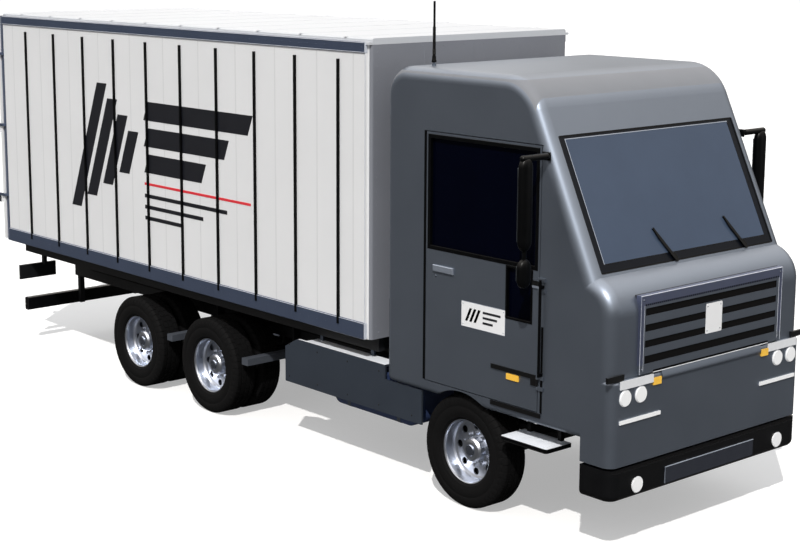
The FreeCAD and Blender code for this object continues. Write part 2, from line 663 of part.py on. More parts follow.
# ---- engine, gearbox and propeller shafts ----
engineFront = cabNose - v.engineSetback
engineRear = engineFront - v.engineLength
engineHigh = humpTop - v.humpWall - v.engineClear
engineLow = engineHigh - v.engineHeight
gearboxRear = engineRear - v.gearboxLength
engine = rounded(block(engineRear, engineFront, -v.engineHalf, v.engineHalf, engineLow,
                       engineHigh), v.castRound,
                 lambda e: e.BoundBox.XLength > 500)
feet = [block(x - 45, x + 45, -railY + v.railThick + v.seat, railY - v.railThick - v.seat,
              railLow + v.footRise, railLow + v.footRise + v.footHeight)
        for x in (engineRear + v.footIn, engineFront - v.footIn)]
gearbox = block(gearboxRear, engineRear + 1, -v.gearboxHalf, v.gearboxHalf, engineLow + 20,
                engineHigh - 40)
flangeAt = v.diffRadius + v.flangeReach + v.seat
shaft = rod("X", v.shaftRadius, gearboxRear - driveOneX - flangeAt + 1, driveOneX + flangeAt, 0,
            axleZ)
output = block(gearboxRear - 40, gearboxRear + 100, -90, 90, axleZ - 90, engineLow + 40)
shaftTwo = rod("X", v.shaftRadius, v.bogieSpacing - 2 * flangeAt, driveTwoX + flangeAt, 0,
               axleZ)
name("drive_train", together([fuse([engine, gearbox, shaft, output] + feet), shaftTwo]))

# ---- fuel tanks, skirts and steps ----
tankFront = frontAxleX - v.tankGap
tankRear = tankFront - v.tankLength
tankLow = v.railTop - v.tankDrop
parts = []
for side, sign in sides:
    far = boxY - v.tankInset
    tank = rounded(plate(sign, tankRear, tankFront, far - v.tankWidth, far, tankLow,
                         tankLow + v.tankHeight), v.tankRound,
                   lambda e: e.BoundBox.XLength > 100)
    straps = [plate(sign, x - 25, x + 25, railY + v.seat, far - v.tankWidth + 5, railLow + 20,
                    railLow + 80) for x in (tankRear + 200, tankFront - 200)]
    parts.append(fuse([tank] + straps))
name("fuel_tanks", together(parts))

skirtRear = driveOneX + v.tyreRadius + v.skirtGapRear
skirtFront = frontAxleX - v.skirtGapFront
skirtHigh = boxFloorZ - v.skirtUnder
shelfEnd = cabRear - v.skirtGap
parts = []
for side, sign in sides:
    far = boxY - v.skirtInset
    low, high = across(sign, far - v.skirtThick, far)
    panel = prism([(skirtRear, skirtHigh - v.skirtHeight), (skirtFront, skirtHigh - v.skirtHeight),
                   (skirtFront, cabSillZ - v.skirtGap), (shelfEnd, cabSillZ - v.skirtGap),
                   (shelfEnd, skirtHigh), (skirtRear + v.skirtSlope, skirtHigh),
                   (skirtRear, skirtHigh - v.skirtSlope * 0.55)], low, high)
    wanted = [(skirtRear + v.skirtSlope).value, skirtHigh.value]
    panel = rounded(panel, v.skirtRound, lambda e: e.BoundBox.YLength > 5 and
                    e.BoundBox.XLength < 0.1 and
                    abs(e.CenterOfMass.x - wanted[0]) < 1 and
                    abs(e.CenterOfMass.z - wanted[1]) < 1)
    shelf = plate(sign, skirtRear + v.skirtSlope + v.skirtRound, shelfEnd, sillY - 40,
                  far - v.skirtThick + 1, skirtHigh - v.skirtThick, skirtHigh)
    stays = [plate(sign, x - 20, x + 20, sillY - 34, sillY - 8, skirtHigh - 10,
                   bearerLow - v.seat) for x in (skirtRear + 400, v.boxFront - 120)]
    parts.append(fuse([panel, shelf] + stays))
name("side_skirts", together(parts))

stepRear = frontAxleX + v.stepGap
stepFront = stepRear + v.stepLength
stepTop = cabSillZ - v.stepDrop
parts = []
for side, sign in sides:
    near, far = cabY - v.stepInset, cabY + v.stepOut
    tread = plate(sign, stepRear, stepFront, near, far, stepTop - v.stepThick, stepTop)
    outY = (sign * far).value
    tread = rounded(tread, v.stepRound, lambda e: abs(e.CenterOfMass.y - outY) < 1 and
                    e.BoundBox.ZLength > 10)
    legs = [plate(sign, x - 20, x + 20, near + v.legIn, near + v.legIn + 40, stepTop - 5,
                  cabBase - v.seat)
            for x in (stepRear + 90, stepFront - 90)]
    parts.append(fuse([tread] + legs))
    # upright grab tube at the front edge of the doorway
    x = doorFront + v.grabAhead
    low = doorLow + v.grabLift
    far = cabY + v.grabOut
    tube = rod("Z", v.grabRadius, v.grabHeight, x, sign * far, low)
    feet = [plate(sign, x - 14, x + 14, cabY + v.seat, far, z - 14, z + 14)
            for z in (low + 18, low + v.grabHeight - v.grabFoot)]
    parts.append(fuse([tube] + feet))
name("cab_steps", together(parts))

# ---- cab shell ----


def edgeAlongY(x, z, reach=2.0):
    def test(edge):
        c = edge.CenterOfMass
        return abs(c.y) < 1 and abs(c.x - x.value) < reach and abs(c.z - z.value) < reach
    return test


lean = v.screenLean
hoodLow = noseZ - v.noseDrop
skew = Size(math.sqrt(1 + lean.value ** 2), "sqrt(1 + Sizes.screenLean^2)")
outer = prism([(cabRear, cabSillZ), (cabRear, cabRoofZ), (roofFrontX, cabRoofZ), (screenX, noseZ),
               (cabNose, hoodLow), (cabNose, chinZ), (chinRear, chinZ), (chinRear, cabSillZ)],
              -cabY, cabY)
outer = rounded(outer, v.rearRound, edgeAlongY(cabRear, cabRoofZ))
outer = rounded(outer, v.browRound, edgeAlongY(roofFrontX, cabRoofZ))
outer = rounded(outer, v.noseRound, edgeAlongY(cabNose, hoodLow))


def sideEdges(edge):
    c = edge.CenterOfMass
    box = edge.BoundBox
    flat = abs(abs(c.y) - cabY.value) < 0.5 and box.YLength < 0.5
    return flat and c.z > cabSillZ.value + 5 and c.x > cabRear.value + 5 and \
        not (c.x < chinRear.value + 5 and c.z < cabSillZ.value + 5)


outer = rounded(outer, v.sideRound, sideEdges)
outer = rounded(outer, v.sillRound, lambda e: e.BoundBox.XLength > 500 and
                e.BoundBox.ZLength < 1 and e.BoundBox.YLength < 1 and
                abs(e.CenterOfMass.z - cabSillZ.value) < 1)
# the lower front stands proud of the nose as a block with a softened upper edge
chinFace = cabNose + v.chinProud
chinTop = chinZ + v.chinHeight
chin = block(cabNose - v.chinDeep, chinFace, -cabY, cabY, chinZ, chinTop)
chin = rounded(chin, v.chinSide, lambda e: e.BoundBox.ZLength > 100 and
               e.CenterOfMass.x > chinFace.value - 1)
chin = rounded(chin, v.chinRound, lambda e: e.BoundBox.ZLength < 1 and
               e.CenterOfMass.z > chinTop.value - 1 and
               e.CenterOfMass.x > chinFace.value - v.chinSide.value)
outer = fuse([outer, chin])
wall = v.cabWall
brow = roofFrontX - wall * (skew - lean)
foot = screenX - wall * (skew - lean)
inner = prism([(cabRear + wall, cabFloorZ), (cabRear + wall, cabRoofZ - wall),
               (brow, cabRoofZ - wall), (foot, noseZ - wall), (cabNose - wall, hoodLow - wall),
               (cabNose - wall, cabFloorZ)], -cabY + wall, cabY - wall)
inner = rounded(inner, v.rearRound - wall, edgeAlongY(cabRear + wall, cabRoofZ - wall))
inner = rounded(inner, v.browRound - wall, edgeAlongY(brow, cabRoofZ - wall))
inner = rounded(inner, v.noseRound - wall, edgeAlongY(cabNose - wall, hoodLow - wall))
hump = block(cabRear - 10, humpFront, -v.humpHalf, v.humpHalf, cabFloorZ - 10, humpTop)
shell = cut(outer, cut(inner, hump))

# openings: doors, windscreen, grille, wheel arches and the tunnel over the engine
tools = []
for side, sign in sides:
    tools.append(plate(sign, doorRear - v.doorSeam, doorFront + v.doorSeam, cabY - wall - 20,
                       cabY + 20, doorLow - v.doorSeam, doorHigh + v.doorSeam))
    low, high = across(sign, v.archIn, cabY + 20)
    tools.append(rod("Y", v.tyreRadius + v.archClear, high - low, frontAxleX, low, axleZ))
tools.append(block(cabRear - 20, humpFront - v.humpWall, -v.humpHalf + v.humpWall,
                   v.humpHalf - v.humpWall, cabSillZ - 10, humpTop - v.humpWall))
tools.append(block(cabRear - 20, chinRear, -cabY + wall, cabY - wall, cabSillZ - 10, cabBase))
tools.append(block(chinRear + wall, chinFace - wall, -cabY + wall, cabY - wall,
                   chinZ + v.cabFloorThick, cabBase))
screenLow = noseZ + v.screenFoot
screenHigh = noseZ + v.screenHeight
screenY = cabY - v.screenSide


def screenBlank(inset):
    """The windscreen opening's outline, drawn in by an inset, as a slanted block."""
    low, high = screenLow + inset, screenHigh - inset
    base, top = screenX - lean * (low - noseZ), screenX - lean * (high - noseZ)
    blank = prism([(base - 300, low), (top - 300, high), (top + 60, high), (base + 60, low)],
                  -screenY + inset, screenY - inset)
    return rounded(blank, v.screenRound - inset, lambda e: e.BoundBox.XLength > 300 and
                   e.BoundBox.YLength < 1 and e.BoundBox.ZLength < 1)


grilleLow = cabFloorZ + v.grilleLift
grilleHigh = grilleLow + v.grilleHeight
grilleBack = cabNose - v.grilleDepth
tools.append(screenBlank(size(0)))
tools.append(block(grilleBack - 60, cabNose + 20, -v.grilleHalf - v.seat,
                   v.grilleHalf + v.seat, grilleLow - v.seat, grilleHigh + v.seat))
shell = cut(shell, tools)
extras = [rod("Z", v.antennaRadius, v.antennaHeight + 10, cabRear + v.antennaBack,
              -cabY + v.antennaIn, cabRoofZ - 10),
          rod("Z", v.antennaRadius * 3, size(22), cabRear + v.antennaBack, -cabY + v.antennaIn,
              cabRoofZ - 2)]
for side, sign in sides:
    hx = doorFront + v.doorSeam / 2
    for z in (doorLow + v.doorHingeLow, doorLow + v.doorHingeHigh):
        for low in (z + v.doorHingeTall / 2 + v.seat, z - v.doorHingeTall / 2 - 30 - v.seat):
            extras.append(rod("Z", v.doorBarrel, 30, hx, sign * (cabY + v.doorHingeOut), low))
            extras.append(plate(sign, hx + 5, hx + v.doorLug, cabY - 5,
                                cabY + v.doorHingeOut + 4, low, low + 30))
    # rub bar below the doorway
    low = doorLow - v.rubLow
    extras.append(plate(sign, doorFront - v.rubLength, doorFront + v.rubLow, cabY - 5,
                        cabY + v.rubProud, low, low + v.rubHeight))
name("cab_shell", fuse([shell] + extras))

# windscreen pane lying in the opening, set in by its seal
slab = prism([(screenX - v.screenLift, noseZ),
              (screenX - v.screenLift - lean * (v.screenHeight + 60), noseZ + v.screenHeight + 60),
              (screenX - v.screenLift - v.screenGlass - lean * (v.screenHeight + 60),
               noseZ + v.screenHeight + 60),
              (screenX - v.screenLift - v.screenGlass, noseZ)], -cabY, cabY)
name("windscreen", common(slab, screenBlank(v.seat)))

# ---- cab doors ----


def pane(x0, x1, z0, z1, inset, near, far, sign):
    """A window outline with rounded corners, drawn in by an inset."""
    body = plate(sign, x0 + inset, x1 - inset, near, far, z0 + inset, z1 - inset)
    return rounded(body, v.paneRound - inset, lambda e: e.BoundBox.YLength > 5 and
                   e.BoundBox.XLength < 1 and e.BoundBox.ZLength < 1)


kerbFront = doorFront - v.kerbIn
kerbHigh = windowLow - v.kerbGap
spans = [(doorRear + v.windowFrame, doorFront - v.windowFrame, windowLow, windowHigh),
         (kerbFront - v.kerbLength, kerbFront, kerbHigh - v.kerbHeight, kerbHigh)]
for side, sign in sides:
    near, far = cabY - wall, cabY
    slab = plate(sign, doorRear, doorFront, near, far, doorLow, doorHigh)
    holes = [pane(a, b, c, d, size(0), near - 20, far + 20, sign) for a, b, c, d in spans]
    high = windowLow - v.handleDrop
    x0 = doorRear + v.handleBack
    outY = (sign * (far + v.handleProud)).value
    grip = rounded(plate(sign, x0, x0 + v.handleLength, far - 5, far + v.handleProud,
                         high - v.handleHeight, high), v.handleRound,
                   lambda e: abs(e.CenterOfMass.y - outY) < 0.5)
    low = doorLow + v.rubStep - v.rubLow
    bar = plate(sign, doorFront - v.rubLength, doorFront - 12, far - 5, far + v.rubProud, low,
                low + v.rubHeight)
    lampLow = doorLow + v.markerLift
    marker = plate(sign, doorFront - v.markerIn - v.markerLength, doorFront - v.markerIn,
                   far - 5, far + v.rubProud, lampLow, lampLow + v.markerHeight)
    pieces = [bar, marker, grip]
    hx = doorFront + v.doorSeam / 2
    for z in (doorLow + v.doorHingeLow, doorLow + v.doorHingeHigh):
        base = z - v.doorHingeTall / 2
        pieces.append(rod("Z", v.doorBarrel, v.doorHingeTall, hx,
                          sign * (cabY + v.doorHingeOut), base))
        pieces.append(plate(sign, hx - v.doorLug, hx - 5, cabY - 5,
                            cabY + v.doorHingeOut + 4, base, base + v.doorHingeTall))
    name("door_" + side, fuse([cut(slab, holes)] + pieces))
    middle = cabY - wall / 2
    name("door_glass_" + side, together([pane(a, b, c, d, v.seat, middle - 4, middle + 4, sign)
                                         for a, b, c, d in spans]))

# ---- grille: a frame round three slanted bars, with a blank badge plate ----
front = cabNose + v.grilleProud
inHalf = v.grilleHalf - v.grilleSide
surround = rounded(block(grilleBack, front, -v.grilleHalf, v.grilleHalf, grilleLow, grilleHigh),
                   v.grilleRound, lambda e: e.BoundBox.YLength > 500 and
                   e.CenterOfMass.x > front.value - 1)
window = block(grilleBack + v.grilleSkin, front + 20, -inHalf, inHalf, grilleLow + v.grilleFoot,
               grilleHigh - v.grilleTopBar)
pitch = (grilleHigh - v.grilleTopBar - grilleLow - v.grilleFoot + v.slotHeight * 0) / v.slotCount
bars = []
for k in range(1, int(v.slotCount.value)):
    base = grilleLow + v.grilleFoot + pitch * k - (pitch - v.slotHeight) / 2
    top = base + pitch - v.slotHeight
    bars.append(prism([(grilleBack + v.grilleSkin - 2, base), (cabNose + 2, base),
                       (front - 3, base + 8), (cabNose - 6, top),
                       (grilleBack + v.grilleSkin - 2, top)], -inHalf - 2, inHalf + 2))
badgeLow = grilleLow + v.badgeLift
badge = rounded(block(grilleBack + v.grilleSkin - 2, cabNose + v.grilleProud, -v.badgeHalf,
                      v.badgeHalf, badgeLow, badgeLow + v.badgeHeight), v.badgeRound,
                lambda e: e.BoundBox.XLength > 20 and e.BoundBox.YLength < 1)
name("grille", fuse([cut(surround, window), badge] + bars))

# ---- bumper ----
bumper = block(bumperNose - v.bumperDepth, bumperNose, -cabY, cabY, bumperLow, bumperHigh)
bumper = rounded(bumper, v.bumperRound, lambda e: abs(e.CenterOfMass.x - bumperNose.value) < 1 and
                 e.BoundBox.ZLength > 100)
bumper = rounded(bumper, v.bumperUnder, lambda e: e.BoundBox.ZLength < 1 and
                 abs(e.CenterOfMass.z - bumperLow.value) < 1 and
                 (e.BoundBox.YLength > 100 or e.BoundBox.XLength > 60) and
                 e.CenterOfMass.x > bumperNose.value - v.bumperDepth.value + 1)
scoop = block(bumperNose - v.bumperDepth - 10, bumperNose - v.bumperWall, -cabY + 80,
              cabY - 80, bumperLow - 10, bumperHigh + 10)
plateLow = bumperLow + v.plateLift
step = block(bumperNose - v.lipDepth, bumperNose + 10, -cabY - 10, cabY + 10,
             bumperHigh - v.lipHeight, bumperHigh + 10)
bumper = cut(bumper, [scoop, step])
panel = rounded(block(bumperNose - 5, bumperNose + 9, -v.plateHalf, v.plateHalf, plateLow,
                      plateLow + v.plateHeight), v.badgeRound,
                lambda e: e.BoundBox.XLength > 10 and e.BoundBox.YLength < 1)
name("bumper", fuse([bumper, panel]))

# ---- lamps ----


faceX = chinFace + v.seat
parts = []
for side, sign in sides:
    low = chinZ + v.lampBarLift
    parts.append(plate(sign, faceX, chinFace + v.lampProud, v.lampBarIn, v.lampBarOut, low,
                       low + v.lampBarHeight))
    for y in (v.roundLampIn, v.roundLampOut):
        parts.append(rod("X", v.roundLamp, v.lampProud - v.seat, faceX, sign * y,
                         chinZ + v.roundLampLift))
    low = chinZ + v.lineLift
    parts.append(plate(sign, faceX, chinFace + v.lampProud, v.lineIn, v.lineOut, low,
                       low + v.lineHeight))
    # dark end bar lying on the chin block's ledge
    parts.append(plate(sign, cabNose + v.seat, cabNose + v.endDepth, v.endIn, v.endOut,
                       chinTop + v.seat, chinTop + v.endHeight))
    parts.append(rod("X", v.fogLamp, v.lampProud, bumperNose + v.seat, sign * v.fogY,
                     bumperLow + v.fogLift))
name("front_lamps", together(parts))

parts = []
for side, sign in sides:
    low = chinZ + v.amberLift
    parts.append(plate(sign, faceX, chinFace + v.lampProud, v.lampBarIn - v.amberWidth - 4,
                       v.lampBarIn - 4, low, low + v.amberHeight))
    low = v.railTop - v.boardDrop
    parts.append(plate(sign, tailX - v.tailProud, tailX - v.seat, boardIn + 40,
                       boardOut - 40, low + 40, low + v.boardHeight - 40))
name("signal_lamps", together(parts))

# ---- wipers: arms and blades lying slanted on the pane ----


def onPane(y, drop, lift):
    """A point on the pane: its Y, its height over the opening's foot, its lift off the glass."""
    z = (screenLow + drop).value
    x = screenX.value - v.screenLift.value - lean.value * (z - noseZ.value)
    return FreeCAD.Vector(x, y.value, z) + normal * lift


normal = FreeCAD.Vector(1, 0, lean.value)
normal.normalize()
arms = []
for y in (v.wiperRight, v.wiperLeft):
    start = onPane(y + v.wiperSlant / 2, v.wiperLow, 0.3)
    finish = onPane(y - v.wiperSlant / 2, v.wiperHigh, 0.3)
    way = finish - start
    length = way.Length
    way.normalize()
    side = normal.cross(way)
    turn = FreeCAD.Rotation(way, side, normal, "XZY")
    pieces = []
    for run, width, height in ((length, v.wiperWidth.value, v.wiperDepth.value),
                               (v.pivotLength.value, v.pivotWidth.value, v.pivotDepth.value)):
        bar = doc.addObject("Part::Box", fresh("Wiper"))
        bar.Length, bar.Width, bar.Height = run, width, height
        bar.Placement = FreeCAD.Placement(start - side * (width / 2), turn)
        pieces.append(bar)
    arms.append(fuse(pieces))
name("wipers", together(arms))

# ---- mirrors ----
parts = []
mirrorHigh = doorHigh - v.mirrorTop
mirrorLow = mirrorHigh - v.mirrorHeight
mirrorX = doorFront + v.mirrorAhead
for side, sign in sides:
    near, far = cabY + v.mirrorOut, cabY + v.mirrorOut + v.mirrorWidth
    pieces = []
    for z0, z1 in ((mirrorLow, mirrorHigh),
                   (mirrorLow - v.smallGap - v.smallHeight, mirrorLow - v.smallGap)):
        head = plate(sign, mirrorX, mirrorX + v.mirrorDepth, near, far, z0, z1)
        pieces.append(rounded(head, v.mirrorRound, lambda e: e.Length > 10))
    mid = (near + far) / 2
    armX = mirrorX + v.mirrorDepth / 2
    pieces.append(rod("Z", v.mirrorArm, mirrorHigh - mirrorLow + v.smallGap + 40, armX,
                      sign * mid, mirrorLow - v.smallGap - 40))
    armZ = mirrorHigh - v.mirrorLift
    low, high = across(sign, cabY + v.seat + 10, mid)
    pieces.append(rod("Y", v.mirrorArm, high - low, armX, low, armZ))
    pieces.append(plate(sign, doorFront + v.mirrorFoot, armX + v.mirrorArm, cabY + v.seat,
                        cabY + v.seat + 22, armZ - 40, armZ + 30))
    parts.append(fuse(pieces))
name("mirrors", together(parts))

# ---- inside the cab ----
parts = []
seatX = cabNose - v.seatSetback
for side, sign in sides:
    near, far = v.seatMiddle - v.seatWidth / 2, v.seatMiddle + v.seatWidth / 2
    x0, z1 = seatX - v.seatLength, cabFloorZ + v.seatHeight
    base = plate(sign, x0, seatX, near, far, cabFloorZ + v.seat, z1)
    low, high = across(sign, near, far)
    back = prism([(x0, z1 - 1), (x0 + v.seatThick, z1 - 1), (x0 + v.seatLean, z1 + v.seatBack),
                  (x0 + v.seatLean - v.seatThick * 0.7, z1 + v.seatBack)], low, high)
    parts.append(fuse([base, back]))
name("seats", together(parts))

dashRear = cabNose - v.dashDepth
dashLow = cabFloorZ + v.dashLift
dashHigh = noseZ - v.dashDrop
dashFront = grilleBack - 20
dash = prism([(dashRear, dashLow), (dashRear, dashHigh - 60), (dashRear + 120, dashHigh),
              (screenX - 120, dashHigh + 30), (dashFront, dashHigh - v.noseRound + wall),
              (dashFront, dashLow)], -cabY + wall + v.seat, cabY - wall - v.seat)
steerX = dashRear - v.steerAhead
steerZ = dashHigh - v.steerDrop
ring = doc.addObject("PartDesign::Body", fresh("Ring"))
sketch = outline(ring, "XZ_Plane", [(v.steerRadius - v.steerTube, -v.steerTube / 2),
                                    (v.steerRadius - v.steerTube / 2, -v.steerTube),
                                    (v.steerRadius + v.steerTube / 2, -v.steerTube),
                                    (v.steerRadius + v.steerTube, size(0)),
                                    (v.steerRadius + v.steerTube / 2, v.steerTube),
                                    (v.steerRadius - v.steerTube / 2, v.steerTube)])
turned = ring.newObject("PartDesign::Revolution", fresh("Revolution"))
turned.Profile = sketch
turned.ReferenceAxis = (sketch, ["V_Axis"])
turned.Angle = 360
place(ring, steerX, v.seatMiddle, steerZ, (0, 1, 0), -30)
column = rod("X", v.columnRadius, dashRear - steerX + 60, steerX - 20, v.seatMiddle, steerZ - 40)
spoke = block(steerX - 12, steerX + 12, v.seatMiddle - v.steerRadius,
              v.seatMiddle + v.steerRadius, steerZ - 10, steerZ + 10)
hub = block(steerX - 40, steerX + 40, v.seatMiddle - 60, v.seatMiddle + 60, steerZ - 70,
            steerZ + 20)
name("dashboard", fuse([dash, ring, column, spoke, hub]))

# ---- box body ----
bodyRear = boxRear + v.seat
inX = v.boxFront - v.frontInset
name("box_floor", block(bodyRear, inX - v.seat, -boxY + v.wallThick + v.seat,
                        boxY - v.wallThick - v.seat, boxFloorZ, floorTop))
wallTop = boxTopZ - v.roofDrop
parts = [plate(sign, bodyRear, v.boxFront, boxY - v.wallThick, boxY, boxFloorZ, wallTop)
         for side, sign in sides]
parts.append(rounded(block(inX, inX + v.frontWall, -boxY + v.wallThick + v.seat,
                           boxY - v.wallThick - v.seat, boxFloorZ, wallTop), v.postRound,
                     lambda e: e.BoundBox.ZLength > 1000 and
                     e.CenterOfMass.x > (inX + v.frontWall).value - 1))
name("box_walls", together(parts))

low, top = wallTop + v.seat, boxTopZ + v.roofRise
edge = boxY - v.roofInset
roof = beam([(-boxY, low), (boxY, low), (boxY, low + v.roofThick - 1),
             (edge, low + v.roofThick - 1), (edge, top - 12), (edge - 16, top),
             (-edge + 16, top), (-edge, top - 12), (-edge, low + v.roofThick - 1),
             (-boxY, low + v.roofThick - 1)], bodyRear, inX + v.frontWall)
lip = beam([(-edge, boxTopZ), (edge, boxTopZ), (edge, top - 12), (edge - 16, top),
            (-edge + 16, top), (-edge, top - 12)], boxRear - v.rearFrame, bodyRear + 5)
name("box_roof", fuse([roof, lip]))

parts = []
railIn, railOut, soft = boxY + v.seat, boxY + v.railProud, v.railChamfer
for side, sign in sides:
    for z0, z1 in ((boxFloorZ, boxFloorZ + v.bottomRail), (boxTopZ - v.topRail, boxTopZ)):
        parts.append(beam([(sign * railIn, z0), (sign * (railOut - soft), z0),
                           (sign * railOut, z0 + soft), (sign * railOut, z1 - soft),
                           (sign * (railOut - soft), z1), (sign * railIn, z1)], bodyRear,
                          v.boxFront))
name("box_rails", together(parts))

parts = []
stripOut = boxY + v.stripProud
stripPitch = (v.boxLength - v.stripFirst - v.stripLast) / (v.stripCount - 1)
for side, sign in sides:
    for k in range(int(v.stripCount.value)):
        x = v.boxFront - v.stripFirst - stripPitch * k
        shelf = boxFloorZ + v.bottomRail + v.seat
        over = railOut + v.seat
        parts.append(beam([(sign * railIn, shelf), (sign * over, shelf),
                           (sign * over, boxFloorZ + v.stripLow),
                           (sign * stripOut, boxFloorZ + v.stripLow),
                           (sign * stripOut, boxTopZ - v.stripTop),
                           (sign * railIn, boxTopZ - v.stripTop)],
                          x - v.stripWidth / 2, x + v.stripWidth / 2))
name("box_strips", together(parts))

# ---- rear frame and cargo doors ----
frameBack = boxRear - v.rearFrame
outerY = railOut - 10
ringBlock = block(frameBack, boxRear, -outerY, outerY, boxFloorZ, boxTopZ - v.seat)
hole = block(frameBack - 10, boxRear + 10, -boxY + v.rearPost, boxY - v.rearPost, floorTop,
             boxTopZ - v.rearHeader)
parts = [cut(ringBlock, hole)]
doorIn = frameBack - v.seat
doorOut = doorIn - v.cargoDoorThick
axisX = doorOut - v.cargoHingeBack
hingeY = boxY + v.cargoHingeOver
leafHigh = boxTopZ - v.doorDrop
leafLow = boxFloorZ + v.doorLift
hingeZ = [boxFloorZ + v.hingeInset, (boxFloorZ + boxTopZ) / 2, boxTopZ - v.hingeInset]
for side, sign in sides:
    for z in hingeZ:
        top = z + v.cargoHingeTall / 2 + 1
        parts.append(plate(sign, frameBack + 5, boxRear - 5, outerY - 1, hingeY + 8, top,
                           top + 30))
        parts.append(plate(sign, axisX, frameBack + 6, hingeY - 8, hingeY + 8, top, top + 30))
        parts.append(rod("Z", v.cargoPin, 30, axisX, sign * hingeY, top))
name("rear_frame", fuse(parts))

for side, sign in sides:
    leafY = boxY + v.cargoDoorOver
    pieces = [plate(sign, doorOut, doorIn, v.cargoDoorGap / 2, leafY, leafLow, leafHigh)]
    for z in hingeZ:
        bottom = z - v.cargoHingeTall / 2
        high = bottom + v.cargoHingeTall
        pieces.append(plate(sign, doorOut - v.hingePlate, doorOut + 1, leafY - v.hingeStrap,
                            hingeY, bottom, high))
        pieces.append(plate(sign, axisX, doorOut, hingeY - 9, hingeY + 9, bottom, high))
        pieces.append(rod("Z", v.cargoPin, v.cargoHingeTall, axisX, sign * hingeY, bottom))
    for y in (v.lockRodIn, v.lockRodIn + v.lockRodApart):
        pieces.append(rod("Z", v.lockRod, leafHigh - leafLow - 40, doorOut - v.lockRodOut,
                          sign * y, leafLow + 20))
        for z in (leafLow + 60, (leafLow + leafHigh) / 2, leafHigh - 60):
            pieces.append(plate(sign, doorOut - v.lockRodOut - 4, doorOut + 1, y - 22, y + 22,
                                z - 25, z + 25))
    name("rear_door_" + side, fuse(pieces))

# ---- check and write ----
doc.recompute()
bad = []
for obj in doc.Objects:
    if "Invalid" in obj.State or "Error" in obj.State:
        bad.append("%s %s %s" % (obj.Name, obj.Label, obj.State))
for node, obj in nodes.items():
    if obj.Shape.isNull() or not obj.Shape.isValid():
        bad.append("bad shape " + node)
if bad:
    raise RuntimeError("; ".join(bad))
os.makedirs("parts", exist_ok=True)
for node, obj in nodes.items():
    obj.Shape.exportStep("parts/%s.step" % node)
    print(node, len(obj.Shape.Solids), round(obj.Shape.Volume / 1e6, 2))
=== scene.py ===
import bpy
import bmesh
import math
from mathutils import Vector, Matrix
from mathutils.bvhtree import BVHTree


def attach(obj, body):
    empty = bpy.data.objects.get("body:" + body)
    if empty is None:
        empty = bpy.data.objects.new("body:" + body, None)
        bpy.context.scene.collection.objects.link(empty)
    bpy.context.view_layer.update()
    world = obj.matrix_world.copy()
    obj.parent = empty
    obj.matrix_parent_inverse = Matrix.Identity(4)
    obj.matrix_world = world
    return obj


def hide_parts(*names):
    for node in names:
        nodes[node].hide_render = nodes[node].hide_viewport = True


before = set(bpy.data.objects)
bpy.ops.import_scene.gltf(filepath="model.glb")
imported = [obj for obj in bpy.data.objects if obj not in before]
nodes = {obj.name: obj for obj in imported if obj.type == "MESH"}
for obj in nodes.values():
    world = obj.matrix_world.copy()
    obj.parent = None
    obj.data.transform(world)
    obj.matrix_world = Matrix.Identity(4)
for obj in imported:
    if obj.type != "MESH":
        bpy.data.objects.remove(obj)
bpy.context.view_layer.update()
sides = ("right", "left")
print("loaded", len(nodes), "solid parts")


def hexColour(text):
    values = [int(text[i:i + 2], 16) / 255 for i in (1, 3, 5)]
    return tuple(v / 12.92 if v < 0.04045 else ((v + 0.055) / 1.055) ** 2.4 for v in values) + (1.0,)


def look(dark, pale, rough, grain, fine, bump, metal=0.0, coat=0.0, **more):
    return {"shades": (dark, pale), "rough": rough, "grain": grain, "fine": fine, "bump": bump,
            "metal": metal, "coat": coat, **more}


